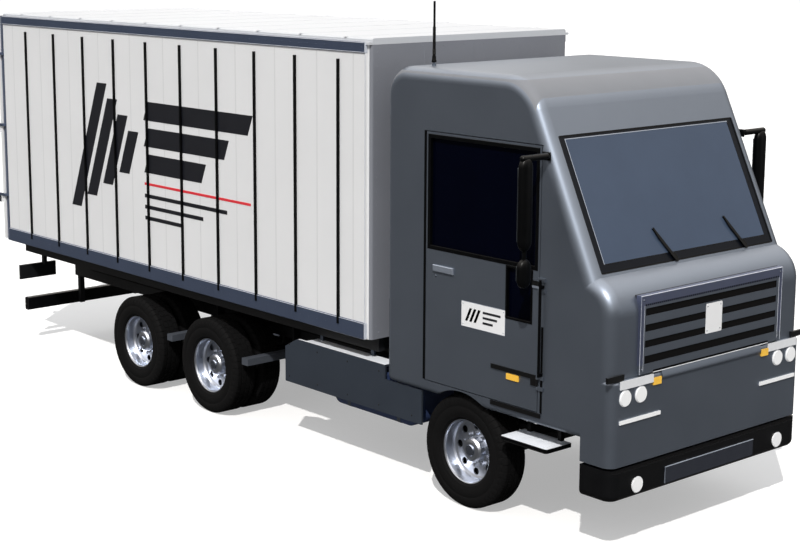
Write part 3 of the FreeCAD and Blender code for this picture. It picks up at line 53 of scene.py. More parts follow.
# what each finish looks like: two close shades of its colour, its roughness from and to, the scale of
# its grain and of its fine bumps, how deep the bumps are, and what else sets it apart
finishes = {
    "cabPaint": look("#68707C", "#707884", (0.37, 0.43), 2.2, 900, 0.010, metal=0.78),
    "boxWhite": look("#D6D7D9", "#DEDFE1", (0.36, 0.48), 1.3, 260, 0.012, coat=0.2),
    "roofWhite": look("#BABDC2", "#C5C8CD", (0.40, 0.55), 1.0, 180, 0.02),
    "railBlue": look("#434D62", "#4C576E", (0.28, 0.42), 3, 600, 0.012, metal=0.45, coat=0.3),
    "frontWallGrey": look("#74777F", "#80838B", (0.40, 0.52), 1.5, 300, 0.015, metal=0.1, coat=0.1),
    "blackTrim": look("#020203", "#060708", (0.30, 0.40), 9, 800, 0.02, spec=0.12),
    "bumperBlack": look("#060608", "#0B0C0E", (0.30, 0.40), 7, 520, 0.05, spec=0.25),
    "frameBlack": look("#0C0D10", "#16181C", (0.42, 0.62), 4, 240, 0.05, metal=0.15),
    "castIron": look("#1C1D1F", "#2A2B2D", (0.55, 0.72), 14, 150, 0.18, metal=0.5),
    "chrome": look("#B9BFCB", "#CBD0DA", (0.27, 0.34), 10, 500, 0, metal=1.0),
    "nutSteel": look("#8E96A6", "#A5ADBD", (0.16, 0.24), 40, 600, 0.01, metal=1.0),
    "tyreRubber": look("#080809", "#0D0D0E", (0.72, 0.88), 12, 420, 0.14, spec=0.10),
    "tankBlue": look("#303D60", "#3A486C", (0.30, 0.44), 3, 400, 0.02, metal=0.3, coat=0.2),
    "skirtSlate": look("#48505D", "#515A67", (0.38, 0.48), 2.5, 420, 0.015, metal=0.75, coat=0.05),
    "stepWhite": look("#DDE2EA", "#ECEFF4", (0.40, 0.55), 12, 200, 0.06, metal=0.1),
    "lampWhite": look("#F0F1F3", "#F8F9FA", (0.12, 0.2), 30, 900, 0.01, coat=0.8),
    "lampBar": look("#D4D6DA", "#DEE0E3", (0.2, 0.3), 10, 500, 0.01, coat=0.3),
    "floorRubber": look("#1D1E21", "#26272B", (0.60, 0.75), 22, 500, 0.12),
    "liningGrey": look("#6C6F75", "#777A80", (0.60, 0.75), 9, 420, 0.08),
    "amberLens": look("#F2BA3C", "#F8C654", (0.14, 0.24), 30, 500, 0.05, coat=0.7),
    "redLens": look("#8E0E12", "#AE171B", (0.14, 0.24), 30, 500, 0.05, coat=0.7),
    "redLine": look("#CE2430", "#DB3540", (0.35, 0.5), 8, 400, 0.01, coat=0.2),
    "markBlack": look("#0B0D14", "#12141C", (0.35, 0.5), 8, 400, 0.01, coat=0.2),
    "seatCloth": look("#26282D", "#33363C", (0.82, 0.95), 60, 700, 0.35, sheen=0.35),
    "seatLeather": look("#17181A", "#202124", (0.42, 0.58), 35, 350, 0.25, coat=0.05),
    "dashPlastic": look("#1B1D20", "#25272B", (0.55, 0.7), 25, 480, 0.2),
    "floorBoard": look("#5A4330", "#745A41", (0.5, 0.68), 2, 60, 0.12, coat=0.1, stretch=(0.3, 12, 1)),
    "mirrorGlass": look("#8A939D", "#97A0AA", (0.02, 0.05), 3, 300, 0.0, metal=1.0),
    "screenGlass": look("#404D61", "#4C5A70", (0.05, 0.10), 1.2, 300, 0.0, coat=0.1, see=0.25, spec=0.4),
    "sideGlass": look("#01020A", "#030513", (0.05, 0.10), 1.4, 300, 0.0, see=0.10, spec=0.2),
    "screenFrame": look("#0A0D14", "#10141C", (0.30, 0.42), 4, 700, 0.01, spec=0.02),
    "panelSlate": look("#2A2D35", "#32353E", (0.32, 0.44), 5, 600, 0.01, metal=0.2, coat=0.1),
    "panelRib": look("#CBCCCE", "#D3D4D6", (0.4, 0.5), 3, 300, 0.01, coat=0.1),
    # painted highlight: light lines along lit edges of the cargo rails and of the grille's frame
    "railLight": look("#C4C9D4", "#D4D9E2", (0.3, 0.4), 8, 500, 0.01, metal=0.2, coat=0.2),
    # painted shade: near-black that stands for the shade inside the grille's slots
    "paintedSlotShade": look("#030304", "#060607", (0.8, 0.95), 6, 400, 0.02, spec=0.1),
    "grillePaint": look("#636A82", "#6B728C", (0.36, 0.42), 5, 800, 0.01, metal=0.75),
    "placardWhite": look("#DFE0E2", "#EBECEE", (0.3, 0.42), 12, 500, 0.01, coat=0.3),
    "handleGrey": look("#9AA3B2", "#A8B1BF", (0.28, 0.36), 20, 500, 0.01, metal=0.7),
    "bareGrey": look("#4D525B", "#5B6069", (0.38, 0.52), 6, 300, 0.03, metal=0.4),
}


def feed(tree, value, socket):
    # a link where the value comes from another node, else the number or colour on the socket itself
    if isinstance(value, bpy.types.NodeSocket):
        tree.links.new(value, socket)
    else:
        socket.default_value = value


def addNode(tree, kind, inputs, output=0, **settings):
    node = tree.nodes.new("ShaderNode" + kind)
    for name, value in settings.items():
        setattr(node, name, value)
    for name, value in inputs.items():
        feed(tree, value, node.inputs[name])
    return node.outputs[output]


def mixIn(tree, low, high, factor):
    return addNode(tree, "Mix", {"Factor": factor, "A": low, "B": high}, "Result", data_type="RGBA")


def calc(tree, kind, a, b):
    return addNode(tree, "Math", {0: a, 1: b}, operation=kind)


def blendValue(tree, ours, theirs, mask):
    if not isinstance(ours, bpy.types.NodeSocket) and ours == theirs:
        return ours
    return addNode(tree, "Mix", {"Factor": mask, "A": ours, "B": theirs}, "Result")


def areaMask(tree, place, area):
    # 1 inside a box given by its limits along x, |y| and z, 0 outside
    result = None
    for axis, (low, high) in area.items():
        value = addNode(tree, "SeparateXYZ", {"Vector": place}, axis[-1].upper())
        if axis == "absY":
            value = calc(tree, "ABSOLUTE", value, 0)
        for kind, limit in (("GREATER_THAN", low), ("LESS_THAN", high)):
            if limit is not None:
                test = calc(tree, kind, value, limit)
                result = test if result is None else calc(tree, "MULTIPLY", result, test)
    return result


made = {}


def finishOf(name, areas=(), label=None):
    label = label or name
    if label in made:
        return made[label]
    style = finishes[name]
    mat = made[label] = bpy.data.materials.new(label)
    mat.use_nodes = True
    tree = mat.node_tree
    place = addNode(tree, "TexCoord", {}, "Object")
    spread = addNode(tree, "Mapping", {"Vector": place, "Scale": style.get("stretch", (1, 1, 1))})
    grain = addNode(tree, "TexNoise", {"Vector": spread, "Scale": style["grain"], "Detail": 5, "Roughness": 0.6})
    colour = mixIn(tree, *map(hexColour, style["shades"]), grain)
    rough = addNode(tree, "MapRange", {"Value": grain, "To Min": style["rough"][0], "To Max": style["rough"][1]})
    metal, coat = style["metal"], style["coat"]
    for other, area in areas:
        theirs, mask = finishes[other], areaMask(tree, place, area)
        colour = mixIn(tree, colour, mixIn(tree, *map(hexColour, theirs["shades"]), grain), mask)
        rough = blendValue(tree, rough, sum(theirs["rough"]) / 2, mask)
        metal = blendValue(tree, metal, theirs["metal"], mask)
        coat = blendValue(tree, coat, theirs["coat"], mask)
    values = {"Base Color": colour, "Roughness": rough, "Metallic": metal, "Coat Weight": coat,
              "Coat Roughness": 0.12, "Specular IOR Level": style.get("spec", 0.5)}
    if "sheen" in style:
        values["Sheen Weight"] = style["sheen"]
    if "see" in style:
        values.update({"Transmission Weight": style["see"], "IOR": 1.2})
    if style["bump"]:
        fine = addNode(tree, "TexNoise", {"Vector": spread, "Scale": style["fine"], "Detail": 3})
        values["Normal"] = addNode(tree, "Bump", {"Strength": style["bump"], "Distance": 0.004, "Height": fine})
    for socket, value in values.items():
        feed(tree, value, tree.nodes["Principled BSDF"].inputs[socket])
    return mat


def dress(node, name, areas=()):
    label = name if not areas else node + "Look"
    for slot in nodes[node].material_slots:
        slot.material = finishOf(name, areas, label)


# mesh helpers: each adds a form to a bmesh that becomes one piece

def addSlab(bm, low, high, soft=0.0, steps=2):
    low, high = Vector(map(min, low, high)), Vector(map(max, low, high))
    corners = bmesh.ops.create_cube(bm, size=1.0)["verts"]
    matrix = Matrix.Translation((low + high) / 2) @ Matrix.Diagonal((*(high - low), 1))
    bmesh.ops.transform(bm, matrix=matrix, verts=corners)
    if soft:
        edges = list({e for v in corners for e in v.link_edges})
        bmesh.ops.bevel(bm, geom=edges, offset=soft, segments=steps, profile=0.5, affect="EDGES")


def joinRings(bm, rings, closed=False):
    # faces between rings of corners; a ring of one corner is a tip
    for a, b in list(zip(rings, rings[1:])) + ([(rings[-1], rings[0])] if closed else []):
        count = max(len(a), len(b))
        for i in range(count):
            j = (i + 1) % count
            if len(a) == 1:
                bm.faces.new((a[0], b[i], b[j]))
            elif len(b) == 1:
                bm.faces.new((a[i], b[0], a[j]))
            else:
                bm.faces.new((a[i], b[i], b[j], a[j]))


def addSpun(bm, profile, centre, axis, steps=48):
    # profile is (radius, offset along the axis); closed round by turning
    turn = Vector((0, 0, 1)).rotation_difference(Vector(axis).normalized()).to_matrix().to_4x4()
    matrix = Matrix.Translation(centre) @ turn
    rings = []
    for radius, along in profile:
        angles = [0] if radius < 1e-6 else [2 * math.pi * i / steps for i in range(steps)]
        rings.append([bm.verts.new(matrix @ Vector((radius * math.cos(t), radius * math.sin(t), along)))
                      for t in angles])
    joinRings(bm, rings)


def addDisc(bm, radius, height, centre, axis, steps):
    addSpun(bm, [(0, 0), (radius, 0), (radius, height), (0, height)], centre, axis, steps)


def addTube(bm, points, radius, steps=10, closed=False):
    points = [Vector(p) for p in points]
    rings = []
    count = len(points)
    up = Vector((0, 0, 1))
    for i, p in enumerate(points):
        before = points[i - 1] if i or closed else p
        after = points[(i + 1) % count] if i < count - 1 or closed else p
        way = (after - before).normalized()
        if abs(way.dot(up)) > 0.97:
            up = Vector((1, 0, 0)) if abs(way.x) < 0.9 else Vector((0, 1, 0))
        first = way.cross(up).normalized()
        second = way.cross(first).normalized()
        rings.append([bm.verts.new(p + first * radius * math.cos(t) + second * radius * math.sin(t))
                      for t in (2 * math.pi * k / steps for k in range(steps))])
    joinRings(bm, rings, closed)
    if not closed:
        bm.faces.new(rings[0])
        bm.faces.new(rings[-1])


def addOutline(bm, corners, depth):
    # a flat outline of 3-D corners, thickened along its own normal
    face = bm.faces.new([bm.verts.new(Vector(c)) for c in corners])
    face.normal_update()
    shift = face.normal * depth
    out = bmesh.ops.extrude_face_region(bm, geom=[face])
    moved = [g for g in out["geom"] if isinstance(g, bmesh.types.BMVert)]
    bmesh.ops.translate(bm, verts=moved, vec=shift)


def addDome(bm, centre, axis, radius, height, steps=10, rings=3):
    angles = [math.pi / 2 * k / rings for k in range(rings)]
    addSpun(bm, [(radius * math.cos(t), height * math.sin(t)) for t in angles] + [(0, height)],
            centre, axis, steps)


def addRing(bm, centre, axis, outer, inner, depth, steps=36):
    addSpun(bm, [(inner, 0), (outer, 0), (outer, depth * 0.6), ((outer + inner) / 2, depth), (inner, depth * 0.7),
                 (inner, 0)], centre, axis, steps)


def addMirrored(bm):
    # the same forms once more on the truck's other side
    out = bmesh.ops.duplicate(bm, geom=bm.verts[:] + bm.edges[:] + bm.faces[:])
    for v in out["geom"]:
        if isinstance(v, bmesh.types.BMVert):
            v.co.y *= -1
    bm.normal_update()


def keep(bm, label, finish, slotName, body="chassis", angle=30, insteadOf=None):
    bmesh.ops.recalc_face_normals(bm, faces=bm.faces)
    data = bpy.data.meshes.new(label)
    bm.to_mesh(data)
    bm.free()
    for face in data.polygons:
        face.use_smooth = True
    data.set_sharp_from_angle(angle=math.radians(angle))
    thing = bpy.data.objects.new(label, data)
    bpy.context.scene.collection.objects.link(thing)
    data.materials.append(finishOf(finish))
    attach(thing, body)
    if insteadOf:
        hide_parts(insteadOf)
    return thing


def keepSides(bm, label, finish, slotName, body="chassis", angle=30, insteadOf=""):
    # the forms are drawn on the truck's left; a star in the names stands for the side
    other = bm.copy()
    for v in other.verts:
        v.co.y *= -1
    other.normal_update()
    for side, forms in zip(sides, (other, bm)):
        keep(forms, *(text.replace("*", side) for text in (label, finish, slotName, body)), angle,
             insteadOf.replace("*", side))


# finishes of the solid parts; a second finish covers only the given stretch of x, |y| and z
pieceFinishes = {
    "blackTrim": ("wipers", "mirrors", "box_strips"), "seatCloth": ("seats",), "dashPlastic": ("dashboard",),
    "castIron": ("drive_train", "front_axle", "rear_axles", "knuckle_*"), "frameBlack": ("leaf_springs",),
    "tankBlue": ("fuel_tanks",), "floorBoard": ("box_floor",), "roofWhite": ("box_roof",),
    "railBlue": ("box_rails", "rear_frame"), "sideGlass": ("door_glass_*",),
    "tyreRubber": ("front_tyre_*", "tyres_drive_one_*", "tyres_drive_two_*"),
    "chrome": ("front_rim_*", "rims_drive_one_*", "rims_drive_two_*")}
doorSkin = (1.2508, None)
badgeArea = {"absY": (None, 0.1085), "z": (1.70, 1.97)}
axleGuard = {"absY": (0.479, 1.151), "z": (0.619, 0.691)}
areaFinishes = {
    "cab_shell": ("cabPaint", ("floorRubber", {"absY": (None, 1.235), "x": (2.17, 4.50), "z": (1.10, 1.72)}),
                  ("liningGrey", {"absY": (None, 1.235), "x": (2.17, 3.95), "z": (1.72, 3.79)}),
                  ("blackTrim", {"absY": doorSkin, "z": (1.0, 1.09)}), ("blackTrim", {"z": (3.93, None)})),
    "windscreen": ("screenGlass", ("screenFrame", {"absY": (1.052, None)}), ("screenFrame", {"z": (3.329, None)}),
                   ("screenFrame", {"z": (None, 2.368)})),
    # the grille's slot backs and the badge's recess are painted black as the shade inside them
    "grille": ("grillePaint", ("cabPaint", {"z": (None, 1.5765)}), ("paintedSlotShade", {"x": (None, 4.8005)}),
               ("paintedSlotShade", {"x": (None, 4.8485), **badgeArea}), ("placardWhite", {**badgeArea, "x": (4.8485, None)})),
    "bumper": ("bumperBlack", ("panelSlate", {"x": (4.8605, None), "absY": (None, 0.5905)})),
    "front_lamps": ("lampWhite", ("lampBar", {"z": (1.4195, None)}),
                    ("blackTrim", {"x": (None, 4.8502), "z": (1.489, None)})),
    "signal_lamps": ("amberLens", ("redLens", {"x": (None, 0)})),
    # painted highlight: the skirts' top face is painted white so that it looks lit by the sun
    "side_skirts": ("skirtSlate", ("stepWhite", {"z": (1.0935, 1.0965)})),
    "cab_steps": ("blackTrim", ("stepWhite", {"z": (0.8035, 0.81)})),
    "chassis_frame": ("frameBlack", ("bareGrey", {"x": (-0.186, -0.084), **axleGuard}),
                      ("bareGrey", {"x": (-1.552, -1.450), **axleGuard})),
    "box_walls": ("boxWhite", ("frontWallGrey", {"x": (1.9085, None), "absY": (None, 1.2695)})),
    "underrun_bar": ("bumperBlack", ("blackTrim", {"z": (0.8, None)})),
    "rear_door_*": ("boxWhite", ("nutSteel", {"x": (None, -4.8192)})),
    "door_*": ("cabPaint", ("blackTrim", {"absY": doorSkin}), ("handleGrey", {"absY": doorSkin, "z": (2.07, 2.14)}),
               ("amberLens", {"absY": doorSkin, "x": (3.69, 3.845), "z": (1.288, 1.3465)}))}


def dressTruck():
    for finish, names in pieceFinishes.items():
        for name in names:
            for node in sorted({name.replace("*", side) for side in sides}):
                dress(node, finish)
    for name, (finish, *areas) in areaFinishes.items():
        for node in sorted({name.replace("*", side) for side in sides}):
            dress(node, finish, areas)
    print("solid parts dressed")


dressTruck()

# camera, at the photograph's viewing angle
viewpoint = {"place": (13.002, -10.792, 4.891), "azimuth": 49.588, "elevation": 10.286, "roll": 0.076,
             "lens": 73.63, "shift": (0.0504, -0.0419)}


def setCamera():
    data = bpy.data.cameras.new("viewCamera")
    data.lens, data.sensor_width = viewpoint["lens"], 36
    data.shift_x, data.shift_y = viewpoint["shift"]
    data.clip_end = 200
    camera = bpy.data.objects.new("viewCamera", data)
    az, el = math.radians(viewpoint["azimuth"]), math.radians(viewpoint["elevation"])
    ahead = Vector((-math.sin(az) * math.cos(el), math.cos(az) * math.cos(el), -math.sin(el)))
    turn = ahead.to_track_quat("-Z", "Y").to_matrix().to_4x4()
    camera.matrix_world = (Matrix.Translation(viewpoint["place"]) @ turn
                           @ Matrix.Rotation(math.radians(viewpoint["roll"]), 4, "Z"))
    bpy.context.scene.collection.objects.link(camera)
    bpy.context.scene.camera = camera


# plain pale floor and soft studio light
studio = {"floor": (0.66, 0.68), "bounce": (0.34, 0.07), "lift": 0.385, "size": 60,
          "sky": (0.26, 0.72), "shine": (0.08, 3.2), "seen": 1.05,
          "skyColours": ((0.985, 0.99, 1.0, 1), (1.0, 0.94, 0.87, 1)),
          "sun": {"towards": (0.61, -0.72, 1.0), "power": 3.5, "spread": 0.8, "colour": (1.0, 0.975, 0.94)},
          "lamps": {"sideLamp": ((-2, -16, 9), (0, 0, 2), 60, 6), "farLamp": ((-12, 9, 10), (-2, 0, 1.5), 150, 9),
                    "frontLamp": ((18, 11, 4.5), (4.8, 0, 2), 130, 7)}}


def placeLamp(name, data, place, way):
    thing = bpy.data.objects.new(name, data)
    thing.matrix_world = Matrix.Translation(place) @ Vector(way).to_track_quat("-Z", "Y").to_matrix().to_4x4()
    bpy.context.scene.collection.objects.link(thing)


def setSky():
    # the part of the sky that lights the truck is brighter overhead than at the horizon,
    # and more so where it is mirrored in the paint
    world = bpy.context.scene.world = bpy.data.worlds.new("studioSky")
    world.use_nodes = True
    tree = world.node_tree
    glossy = addNode(tree, "LightPath", {}, "Is Glossy Ray")
    seen = calc(tree, "MAXIMUM", addNode(tree, "LightPath", {}, "Is Camera Ray"),
                addNode(tree, "LightPath", {}, "Is Transmission Ray"))
    height = addNode(tree, "SeparateXYZ", {"Vector": addNode(tree, "TexCoord", {}, "Generated")}, "Z")
    levels = [addNode(tree, "MapRange", {"Value": height, "To Min": low, "To Max": high},
                      interpolation_type="SMOOTHSTEP") for low, high in (studio["sky"], studio["shine"])]
    level = blendValue(tree, *levels, glossy)
    sky = tree.nodes["Background"]
    feed(tree, mixIn(tree, *studio["skyColours"], glossy), sky.inputs["Color"])
    feed(tree, blendValue(tree, level, studio["seen"], seen), sky.inputs["Strength"])


def setFloor():
    # the floor is pale to the eye and throws less light back on to the truck
    bm = bmesh.new()
    bmesh.ops.create_grid(bm, x_segments=8, y_segments=8, size=studio["size"])
    data = bpy.data.meshes.new("studioFloor")
    bm.to_mesh(data)
    bm.free()
    floor = bpy.data.objects.new("studioFloor", data)
    floor.location.z = -0.001
    bpy.context.scene.collection.objects.link(floor)
    mat = bpy.data.materials.new("studioFloor")
    mat.use_nodes = True
    tree = mat.node_tree
    grain = addNode(tree, "TexNoise", {"Vector": addNode(tree, "TexCoord", {}, "Object"), "Scale": 0.6})
    camera, glossy = (addNode(tree, "LightPath", {}, name) for name in ("Is Camera Ray", "Is Glossy Ray"))
    pale, given = (mixIn(tree, (low,) * 3 + (1,), (high,) * 3 + (1,), factor)
                   for (low, high), factor in ((studio["floor"], grain), (studio["bounce"], glossy)))
    for socket, value in {"Base Color": mixIn(tree, given, pale, camera), "Roughness": 0.9,
                          "Specular IOR Level": 0.0, "Emission Color": (1, 1, 1, 1),
                          "Emission Strength": calc(tree, "MULTIPLY", camera, studio["lift"])}.items():
        feed(tree, value, tree.nodes["Principled BSDF"].inputs[socket])
    data.materials.append(mat)


def setStudio():
    bpy.context.scene.view_settings.view_transform = "Standard"
    setSky()
    sun = bpy.data.lights.new("sunLamp", "SUN")
    sun.energy, sun.angle = studio["sun"]["power"], math.radians(studio["sun"]["spread"])
    sun.color = studio["sun"]["colour"]
    placeLamp("sunLamp", sun, (0, 0, 0), -Vector(studio["sun"]["towards"]))
    for name, (place, aim, power, size) in studio["lamps"].items():
        lamp = bpy.data.lights.new(name, "AREA")
        lamp.energy, lamp.size = power, size
        placeLamp(name, lamp, place, Vector(aim) - Vector(place))
    setFloor()
    print("camera, lamps and floor set")


setCamera()
setStudio()


# tyres with their own grooves and tread blocks, in place of the plain solids
tyre = {"radius": 0.505, "half": 0.1375, "bead": 0.287, "seat": 0.1095, "blocks": 46, "groove": 0.010,
        "sipe": 0.006, "axle": 0.505, "outer": 1.0625, "inner": 0.7415}
wheels = {"front_wheel": 3.14, "twin_wheel_drive_one": -0.725, "twin_wheel_drive_two": -2.091}


def tyreSection():
    # radius, place along the axle and kind: 0 plain, 1 shoulder, 2 middle rib
    r, half, bead = tyre["radius"], tyre["half"], tyre["bead"]
    floor = r - tyre["groove"]
    wall = [(bead, tyre["seat"], 0)] + [(bead + up, half * share, 0) for up, share in (
        (0.012, 0.86), (0.022, 0.93), (0.030, 0.93), (0.045, 0.985), (0.080, 1), (0.112, 1))]
    wall += [(bead + 0.116, half - 0.002, 0), (bead + 0.122, half - 0.002, 0), (bead + 0.126, half, 0),
             (r - 0.066, half, 0)]
    wall += [(r - down, half * share, 1) for down, share in ((0.048, 0.985), (0.026, 0.945), (0.010, 0.87), (0, 0.76))]
    m = half * 0.42
    near = wall + [(r, m + 0.007, 1), (floor, m + 0.005, 0), (floor, m - 0.005, 0), (r, m - 0.007, 2)]
    middle = [(r, 0.007, 2), (floor, 0.005, 0), (floor, -0.005, 0), (r, -0.007, 2)]
    return near + middle + [(a, -b, c) for a, b, c in reversed(near)]


def addTyre(bm, x, y):
    rings = []
    for block in range(tyre["blocks"]):
        for share, dip in ((0.0, 0), (0.38, 0), (0.41, 2), (0.45, 2), (0.48, 0), (0.88, 0), (0.91, 1), (0.96, 1)):
            angle = 2 * math.pi * (block + share) / tyre["blocks"]
            ring = []
            for radius, along, kind in tyreSection():
                if dip and kind == dip:
                    radius -= tyre["sipe"]
                ring.append(bm.verts.new((x + radius * math.cos(angle), y + along,
                                          tyre["axle"] + radius * math.sin(angle))))
            rings.append(ring)
    joinRings(bm, rings, True)


def makeTyres():
    for body, x in wheels.items():
        name = "front_tyre_*" if body == "front_wheel" else body.replace("twin_wheel", "tyres") + "_*"
        bm = bmesh.new()
        addTyre(bm, x, tyre["outer"])
        if body != "front_wheel":
            addTyre(bm, x, tyre["inner"])
        keepSides(bm, name + "_tread", "tyreRubber", "tyre_rubber", body + "_*", insteadOf=name)
    print("tyres made")


# wheel trim: hub cap with its nuts, valve, and the brake drum's face behind the front hand holes, in black as painted
# shade inside the wheel
hub = {"cap": (0.052, 1.1219), "nuts": (8, 0.084, 0.009, 1.112), "valve": (0.2525, 0.0045),
       "drum": (0.13, 0.262, 1.010)}


def makeWheelTrim():
    z = tyre["axle"]
    for body, x in wheels.items():
        axis = (0, 1, 0)
        bm = bmesh.new()
        cap, y = hub["cap"]
        addSpun(bm, [(0, 0), (cap, 0), (cap, 0.004), (0.046, 0.010), (0.030, 0.0135), (0, 0.0145)], (x, y, z), axis, 40)
        count, circle, size, y = hub["nuts"]
        for i in range(count):
            t = 2 * math.pi * (i + 0.5) / count
            addSpun(bm, [(0, 0), (size, 0), (size, 0.004), (0.005, 0.006), (0, 0.006)],
                    (x + circle * math.cos(t), y, z + circle * math.sin(t)), axis, 6)
        keepSides(bm, body + "_*_hubCap", "nutSteel", "rim_chrome", body + "_*")
        bm = bmesh.new()
        out, stem = hub["valve"]
        addTube(bm, [(x + out - 0.006, 1.058, z), (x + out - 0.004, 1.09, z), (x + out, 1.118, z)], stem, 8)
        addDisc(bm, 0.0065, 0.012, (x + out, 1.118, z), axis, 10)
        # painted shade: the drum's face is a black disc, so that the hand holes read as the shade inside the wheel
        if body == "front_wheel":
            near, far, y = hub["drum"]
            addSpun(bm, [(near, 0), (far, 0), (far, 0.004), (near, 0.004), (near, 0)], (x, y, z), axis, 48)
        keepSides(bm, body + "_*_valve", "blackTrim", "tyre_rubber", body + "_*")
    print("wheel trim made")


# windscreen lines on the raked pane, with a painted highlight along two edges of the glass
screen = {"wipers": (-0.277, 0.656), "foot": 2.280, "baseX": 4.600, "lean": 0.474, "glassIn": 1.051, "glassLow": 2.369,
          "glassHigh": 3.328, "openIn": 1.126, "openLow": 2.300, "openHigh": 3.360, "blade": 0.0235}


def onScreen(y, z, proud=0.0):
    slope = math.hypot(1, screen["lean"])
    x = screen["baseX"] - screen["lean"] * (z - screen["foot"])
    return Vector((x + proud / slope, y, z + proud * screen["lean"] / slope))


def screenStrip(bm, y0, z0, y1, z1, width, proud=0.0016):
    run = (onScreen(y1, z1) - onScreen(y0, z0)).normalized()
    across = Vector((1, 0, screen["lean"])).normalized().cross(run) * width / 2
    a, b = onScreen(y0, z0, 0.0002), onScreen(y1, z1, 0.0002)
    addOutline(bm, [a - across, b - across, b + across, a + across], proud)


def makeScreenTrim():
    s = screen
    # wiper blades laid on the arms
    bm = bmesh.new()
    for y in s["wipers"]:
        foot, run = Vector((y + 0.085, 2.300)), Vector((-0.170, 0.256))
        along = run.normalized()
        outline = []
        for share, half in ((0.0, 0.010), (0.12, 0.016), (0.82, 0.016), (1.02, 0.003), (1.02, -0.003),
                            (0.82, -0.012), (0.12, -0.012), (0.0, -0.010)):
            spot = foot + run * share + Vector((-along.y, along.x)) * half
            outline.append((s["baseX"] - s["lean"] * (spot.y - s["foot"]) + s["blade"], spot.x, spot.y))
        addOutline(bm, outline, 0.004)
    keep(bm, "wiper_blades", "blackTrim", "black_plastic")
    y, low, high = s["glassIn"], s["glassLow"], s["glassHigh"]
    # painted highlight: light lines along the glass's top edge and its edge on the truck's right, where light catches
    # them
    bm = bmesh.new()
    screenStrip(bm, -y, low, -y, high, 0.006)
    screenStrip(bm, -y - 0.003, high, y + 0.003, high, 0.006)
    keep(bm, "screen_painted_highlight", "handleGrey", "black_plastic")
    bm = bmesh.new()
    screenStrip(bm, y, low, y, high, 0.005)
    screenStrip(bm, -y, low, y, low, 0.005)
    y, low, high = s["openIn"] - 0.012, s["openLow"] + 0.006, s["openHigh"] - 0.007
    for z in (low, high):
        screenStrip(bm, -y, z, y, z, 0.010, 0.0035)
    for y in (-y - 0.006, y + 0.006):
        screenStrip(bm, y, low - 0.005, y, high + 0.005, 0.012, 0.0035)
    keep(bm, "screen_seal", "blackTrim", "black_plastic")
    print("windscreen trim made")


# plain placard on each door with a thin rim and four small screws; it bears three slanted stripes
# and three bars, the same motif as on the cargo side
placard = {"x": (3.145, 3.668), "z": (1.652, 1.870), "skin": 1.2503, "thick": 0.003, "print": 0.0008,
           "bars": (0.21, 0.17, 0.12)}


def makePlacards():
    x0, x1, z0, z1 = placard["x"] + placard["z"]
    y = placard["skin"]
    face = y + placard["thick"]
    door = "cab_door_*"
    bm = bmesh.new()
    addSlab(bm, (x0, y, z0), (x1, face, z1), 0.001, 1)
    keepSides(bm, "door_placard_*", "placardWhite", "box_white", door)
    bm = bmesh.new()
    corners = ((x0, z0), (x1, z0), (x1, z1), (x0, z1))
    for a, b in zip(corners, corners[1:] + corners[:1]):
        addTube(bm, [(a[0], y + 0.002, a[1]), (b[0], y + 0.002, b[1])], 0.002, 6)
    for x in (x0 + 0.02, x1 - 0.02):
        for z in (z0 + 0.02, z1 - 0.02):
            addDome(bm, (x, face, z), (0, 1, 0), 0.0055, 0.002, 12, 2)
    keepSides(bm, "door_placard_rim_*", "handleGrey", "black_plastic", door)
    bm = bmesh.new()
    for i in range(3):
        x = x0 + 0.045 + i * 0.052
        addOutline(bm, [(x, face, z0 + 0.05), (x + 0.03, face, z0 + 0.05), (x + 0.085, face, z1 - 0.05),
                        (x + 0.055, face, z1 - 0.05)], placard["print"])
    for k, length in enumerate(placard["bars"]):
        x, z = x0 + 0.26, z1 - 0.062 - k * 0.045
        addSlab(bm, (x, face, z - 0.012), (x + length, face + placard["print"], z + 0.008))
    keepSides(bm, "door_placard_stripes_*", "markBlack", "black_plastic", door)
    print("placards made")


# cargo side decoration: slanted stripes and stepped bars, a design of our own
decor = {"skin": 1.3006, "thick": 0.0024, "slant": 0.42, "step": 0.16, "stripes": (-3.22, 0.20, 0.34, 4, 1.93, 3.36),
         "bars": ((-1.70, 0.16, 3.22, 3.02), (-1.70, -0.24, 2.94, 2.74), (-1.70, -0.64, 2.66, 2.46)),
         "line": (-1.70, 0.20, 2.352, 2.326), "small": ((-1.70, -0.20, 2.23, 2.19), (-1.70, -0.62, 2.11, 2.07),
                                                         (-1.70, -0.98, 1.99, 1.95))}


def addBand(bm, x0, x1, high, low, slant=0.0):
    y, lean = decor["skin"], slant * (high - low)
    addOutline(bm, [(x0, y, low), (x1, y, low), (x1 + lean, y, high), (x0 + lean, y, high)], decor["thick"])


def makeDecoration():
    bm = bmesh.new()
    start, width, pitch, count, low, high = decor["stripes"]
    for i in range(count):
        x, cut = start + i * pitch, decor["step"] * i
        addBand(bm, x, x + width, high - cut, low + cut, decor["slant"])
    for band in decor["bars"]:
        addBand(bm, *band, decor["slant"])
    for band in decor["small"]:
        addBand(bm, *band)
    keepSides(bm, "cargo_stripes_*", "markBlack", "strip_black")
    bm = bmesh.new()
    addBand(bm, *decor["line"])
    keepSides(bm, "cargo_red_line_*", "redLine", "strip_black")
    print("cargo decoration made")


